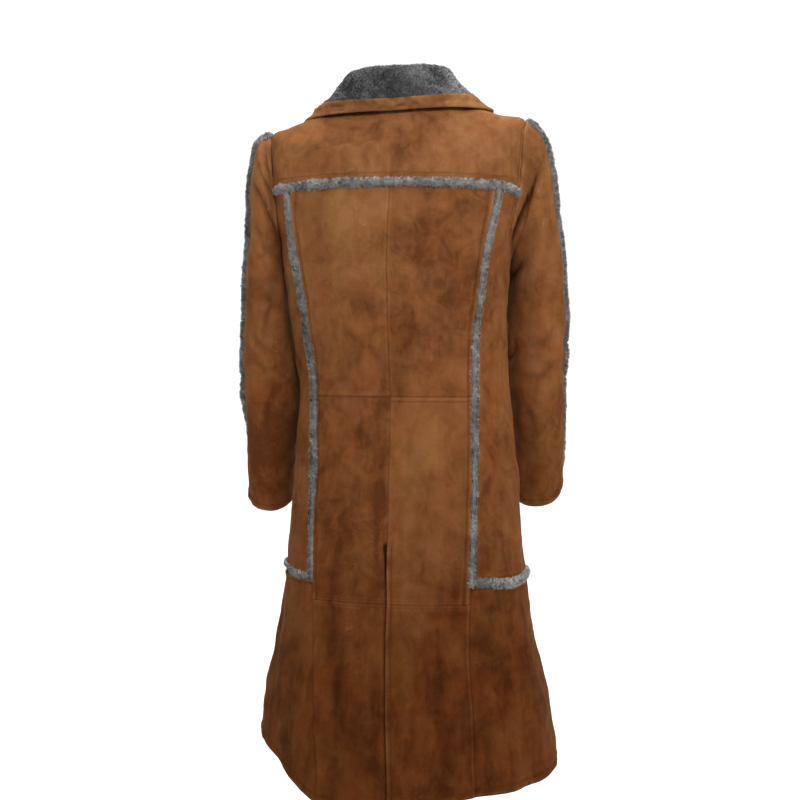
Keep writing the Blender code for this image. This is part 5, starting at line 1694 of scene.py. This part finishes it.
def button_piece(number, material):
    """A horn button with a raised rim, a shallow bowl and four pits for its thread."""
    low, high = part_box(f"button_{number}")
    centre = np.array((low + high) / 2.0)
    height = RING["z_front"]
    row = float(np.interp(-centre[2], -height, np.arange(len(height))))
    normal = body_normal(np.array(180.0), np.array(row))
    across = unit(np.cross(normal, np.array((0.0, 0.0, 1.0))))
    up = np.cross(across, normal)
    edge = BUTTON_ROUND * (1.0 - np.sin(np.linspace(0.2, math.pi / 2.0, 6)))
    radii = np.concatenate([np.linspace(0.0004, BUTTON_RADIUS - BUTTON_ROUND, 30),
                            BUTTON_RADIUS - edge])
    turns = np.arange(72) * 2.0 * math.pi / 72
    radius, turn = np.meshgrid(radii, turns, indexing="ij")
    x, y = radius * np.cos(turn), radius * np.sin(turn)
    top = (BUTTON_THICKNESS / 2.0
           - BUTTON_BOWL * (1.0 - smooth_step(BUTTON_RIM - 0.002, BUTTON_RIM, radius)))
    edge = np.clip((radius - (BUTTON_RADIUS - BUTTON_ROUND)) / BUTTON_ROUND, 0.0, 1.0)
    top = top - BUTTON_ROUND * (1.0 - np.sqrt(1.0 - edge ** 2))
    for quarter in range(4):
        angle = math.pi * (quarter / 2.0 + 0.25)
        away = np.hypot(x - HOLE_CIRCLE * math.cos(angle), y - HOLE_CIRCLE * math.sin(angle))
        top = top - HOLE_DEPTH * (1.0 - smooth_step(HOLE_RADIUS * 0.75, HOLE_RADIUS * 1.15, away))
    back = np.full(len(turns), -BUTTON_THICKNESS / 2.0)
    x = np.concatenate([x, x[-1:], x[-1:] * 0.94])
    y = np.concatenate([y, y[-1:], y[-1:] * 0.94])
    rise = np.concatenate([top, [back + 0.0008], [back]])
    points = centre + (across * x[..., None] + up * y[..., None] + normal * rise[..., None])
    count = len(turns)
    fans = [fan(0, count), fan((len(rise) - 1) * count, count)[:, [0, 2, 1]]]
    made = mesh_object(f"horn_button_{number}", points.reshape(-1, 3),
                       grid_faces(len(rise), count, closed=True)[:, ::-1], np.concatenate(fans),
                       [material])
    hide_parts(f"button_{number}")
    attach(made, "root")
    seat = centre + normal * (BUTTON_THICKNESS / 2.0 - BUTTON_BOWL - STITCH_RISE)
    runs = []
    for lift in (-1.0, 1.0):
        offset = HOLE_CIRCLE * math.sin(math.pi / 4.0)
        for shift in (-0.0003, 0.0003):
            middle = seat + up * (lift * offset + shift)
            runs.append((middle[None], across[None], normal[None]))
    return runs


# ---- room, lights and camera ---------------------------------------------------------------------

FLOOR, BACKDROP, SWEEP, ROOM_WIDTH = -1.46, -3.9, 1.0, 14.0
ROOM_FRONT, ROOM_TOP = 6.0, 5.0

# Lights: what each is aimed from and at, how wide and high it is, its watts and its colour.
Lamp = namedtuple("Lamp", "name source target width height watts colour")
LAMPS = (
    Lamp("high_back", (-0.25, 2.7, 2.2), (0.0, 0.0, -0.20), 1.4, 1.0, 84.0, (1.0, 0.985, 0.965)),
    Lamp("left_back", (2.6, 1.9, 0.6), (0.0, 0.0, -0.4), 1.0, 1.8, 9.0, (1.0, 0.99, 0.98)),
    Lamp("right_back", (-2.8, 1.2, 0.5), (0.0, 0.0, -0.4), 1.0, 1.8, 26.0, (1.0, 0.99, 0.98)),
    Lamp("front", (-0.8, -3.0, 1.6), (0.0, 0.0, -0.4), 2.2, 1.6, 60.0, (1.0, 0.99, 0.98)),
    Lamp("top", (0.0, 0.3, 2.6), (0.0, 0.0, 0.0), 1.4, 1.4, 26.0, (1.0, 1.0, 1.0)),
    Lamp("backdrop_wash", (0.0, -1.2, 3.4), (0.0, -3.9, -0.6), 4.0, 1.0, 150.0, (1.0, 1.0, 1.0)),
)
WORLD_LIGHT, WORLD_SEEN = 0.24, 1.0
CAMERA_PLACE, CAMERA_TILT, CAMERA_LENS, CAMERA_SHIFT = (-0.008, 2.585, -0.3255), 1.307, 70.5, -0.06


def room():
    """A pale floor that sweeps up into a backdrop."""
    bend = np.linspace(0.0, math.pi / 2.0, 17)
    profile = ([(ROOM_FRONT, FLOOR)]
               + [(BACKDROP + SWEEP - SWEEP * math.sin(turn),
                   FLOOR + SWEEP - SWEEP * math.cos(turn)) for turn in bend]
               + [(BACKDROP, ROOM_TOP)])
    points = [(x, y, z) for y, z in profile for x in (-ROOM_WIDTH / 2.0, ROOM_WIDTH / 2.0)]
    look = Look("backdrop", 1.0, specular=0.0)
    look.shader.inputs["Base Color"].default_value = (0.92, 0.92, 0.92, 1.0)
    mesh_object("backdrop", points, grid_faces(len(profile), 2),
                         materials=[look.material])


def lamps():
    for lamp in LAMPS:
        light = bpy.data.lights.new(lamp.name, "AREA")
        light.shape, light.size, light.size_y = "RECTANGLE", lamp.width, lamp.height
        light.energy, light.color = lamp.watts, lamp.colour
        made = bpy.data.objects.new(lamp.name, light)
        bpy.context.collection.objects.link(made)
        made.location = lamp.source
        way = Vector(lamp.target) - Vector(lamp.source)
        made.rotation_euler = way.to_track_quat("-Z", "Y").to_euler()
        made.visible_camera = False


def sky():
    """White where the camera sees past the room, and a weaker even light on everything."""
    world = bpy.data.worlds.new("white")
    bpy.context.scene.world = world
    world.use_nodes = True
    nodes, links = world.node_tree.nodes, world.node_tree.links
    background = nodes["Background"]
    background.inputs["Color"].default_value = (1.0, 1.0, 1.0, 1.0)
    seen = nodes.new("ShaderNodeLightPath").outputs["Is Camera Ray"]
    strength = nodes.new("ShaderNodeMapRange")
    strength.inputs["To Min"].default_value = WORLD_LIGHT
    strength.inputs["To Max"].default_value = WORLD_SEEN
    links.new(seen, strength.inputs["Value"])
    links.new(strength.outputs[0], background.inputs["Strength"])


def camera():
    data = bpy.data.cameras.new("camera")
    data.lens, data.sensor_width, data.shift_y = CAMERA_LENS, 36.0, CAMERA_SHIFT
    made = bpy.data.objects.new("camera", data)
    bpy.context.collection.objects.link(made)
    made.location = CAMERA_PLACE
    made.rotation_euler = (math.radians(90.0 - CAMERA_TILT), 0.0, math.radians(180.0))
    bpy.context.scene.camera = made


# ---- the coat ------------------------------------------------------------------------------------

suede_look, fleece_look, thread_look = suede(), fleece(), thread()
strip_fur = fur("fur_piping", (0.105, 0.103, 0.100), (0.215, 0.213, 0.209), (0.840, 0.835, 0.810))
collar_fur = fur("fur_collar", (0.052, 0.052, 0.054), (0.075, 0.075, 0.077), (0.470, 0.470, 0.480))

stitching = []
for node, panel in body_panels() + sleeve_panels():
    piece = shell(panel, [suede_look, fleece_look])
    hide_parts(node)
    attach(piece, "root")
    stitching += panel_stitches(panel)

for strip in strips():
    piece = strip_piece(strip, strip_fur)
    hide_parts(strip.node)
    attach(piece, "root")

for piece, slot in zip(collar_pieces(collar_fur, suede_look), ("fur", "fur", "suede")):
    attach(piece, "root")

horn_look = horn()
for number in range(1, 5):
    stitching += button_piece(number, horn_look)
piece = stitch_mesh("stitching", stitching, thread_look)
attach(piece, "root")

room()
lamps()
sky()
camera()
bpy.context.scene.view_settings.view_transform = "Standard"
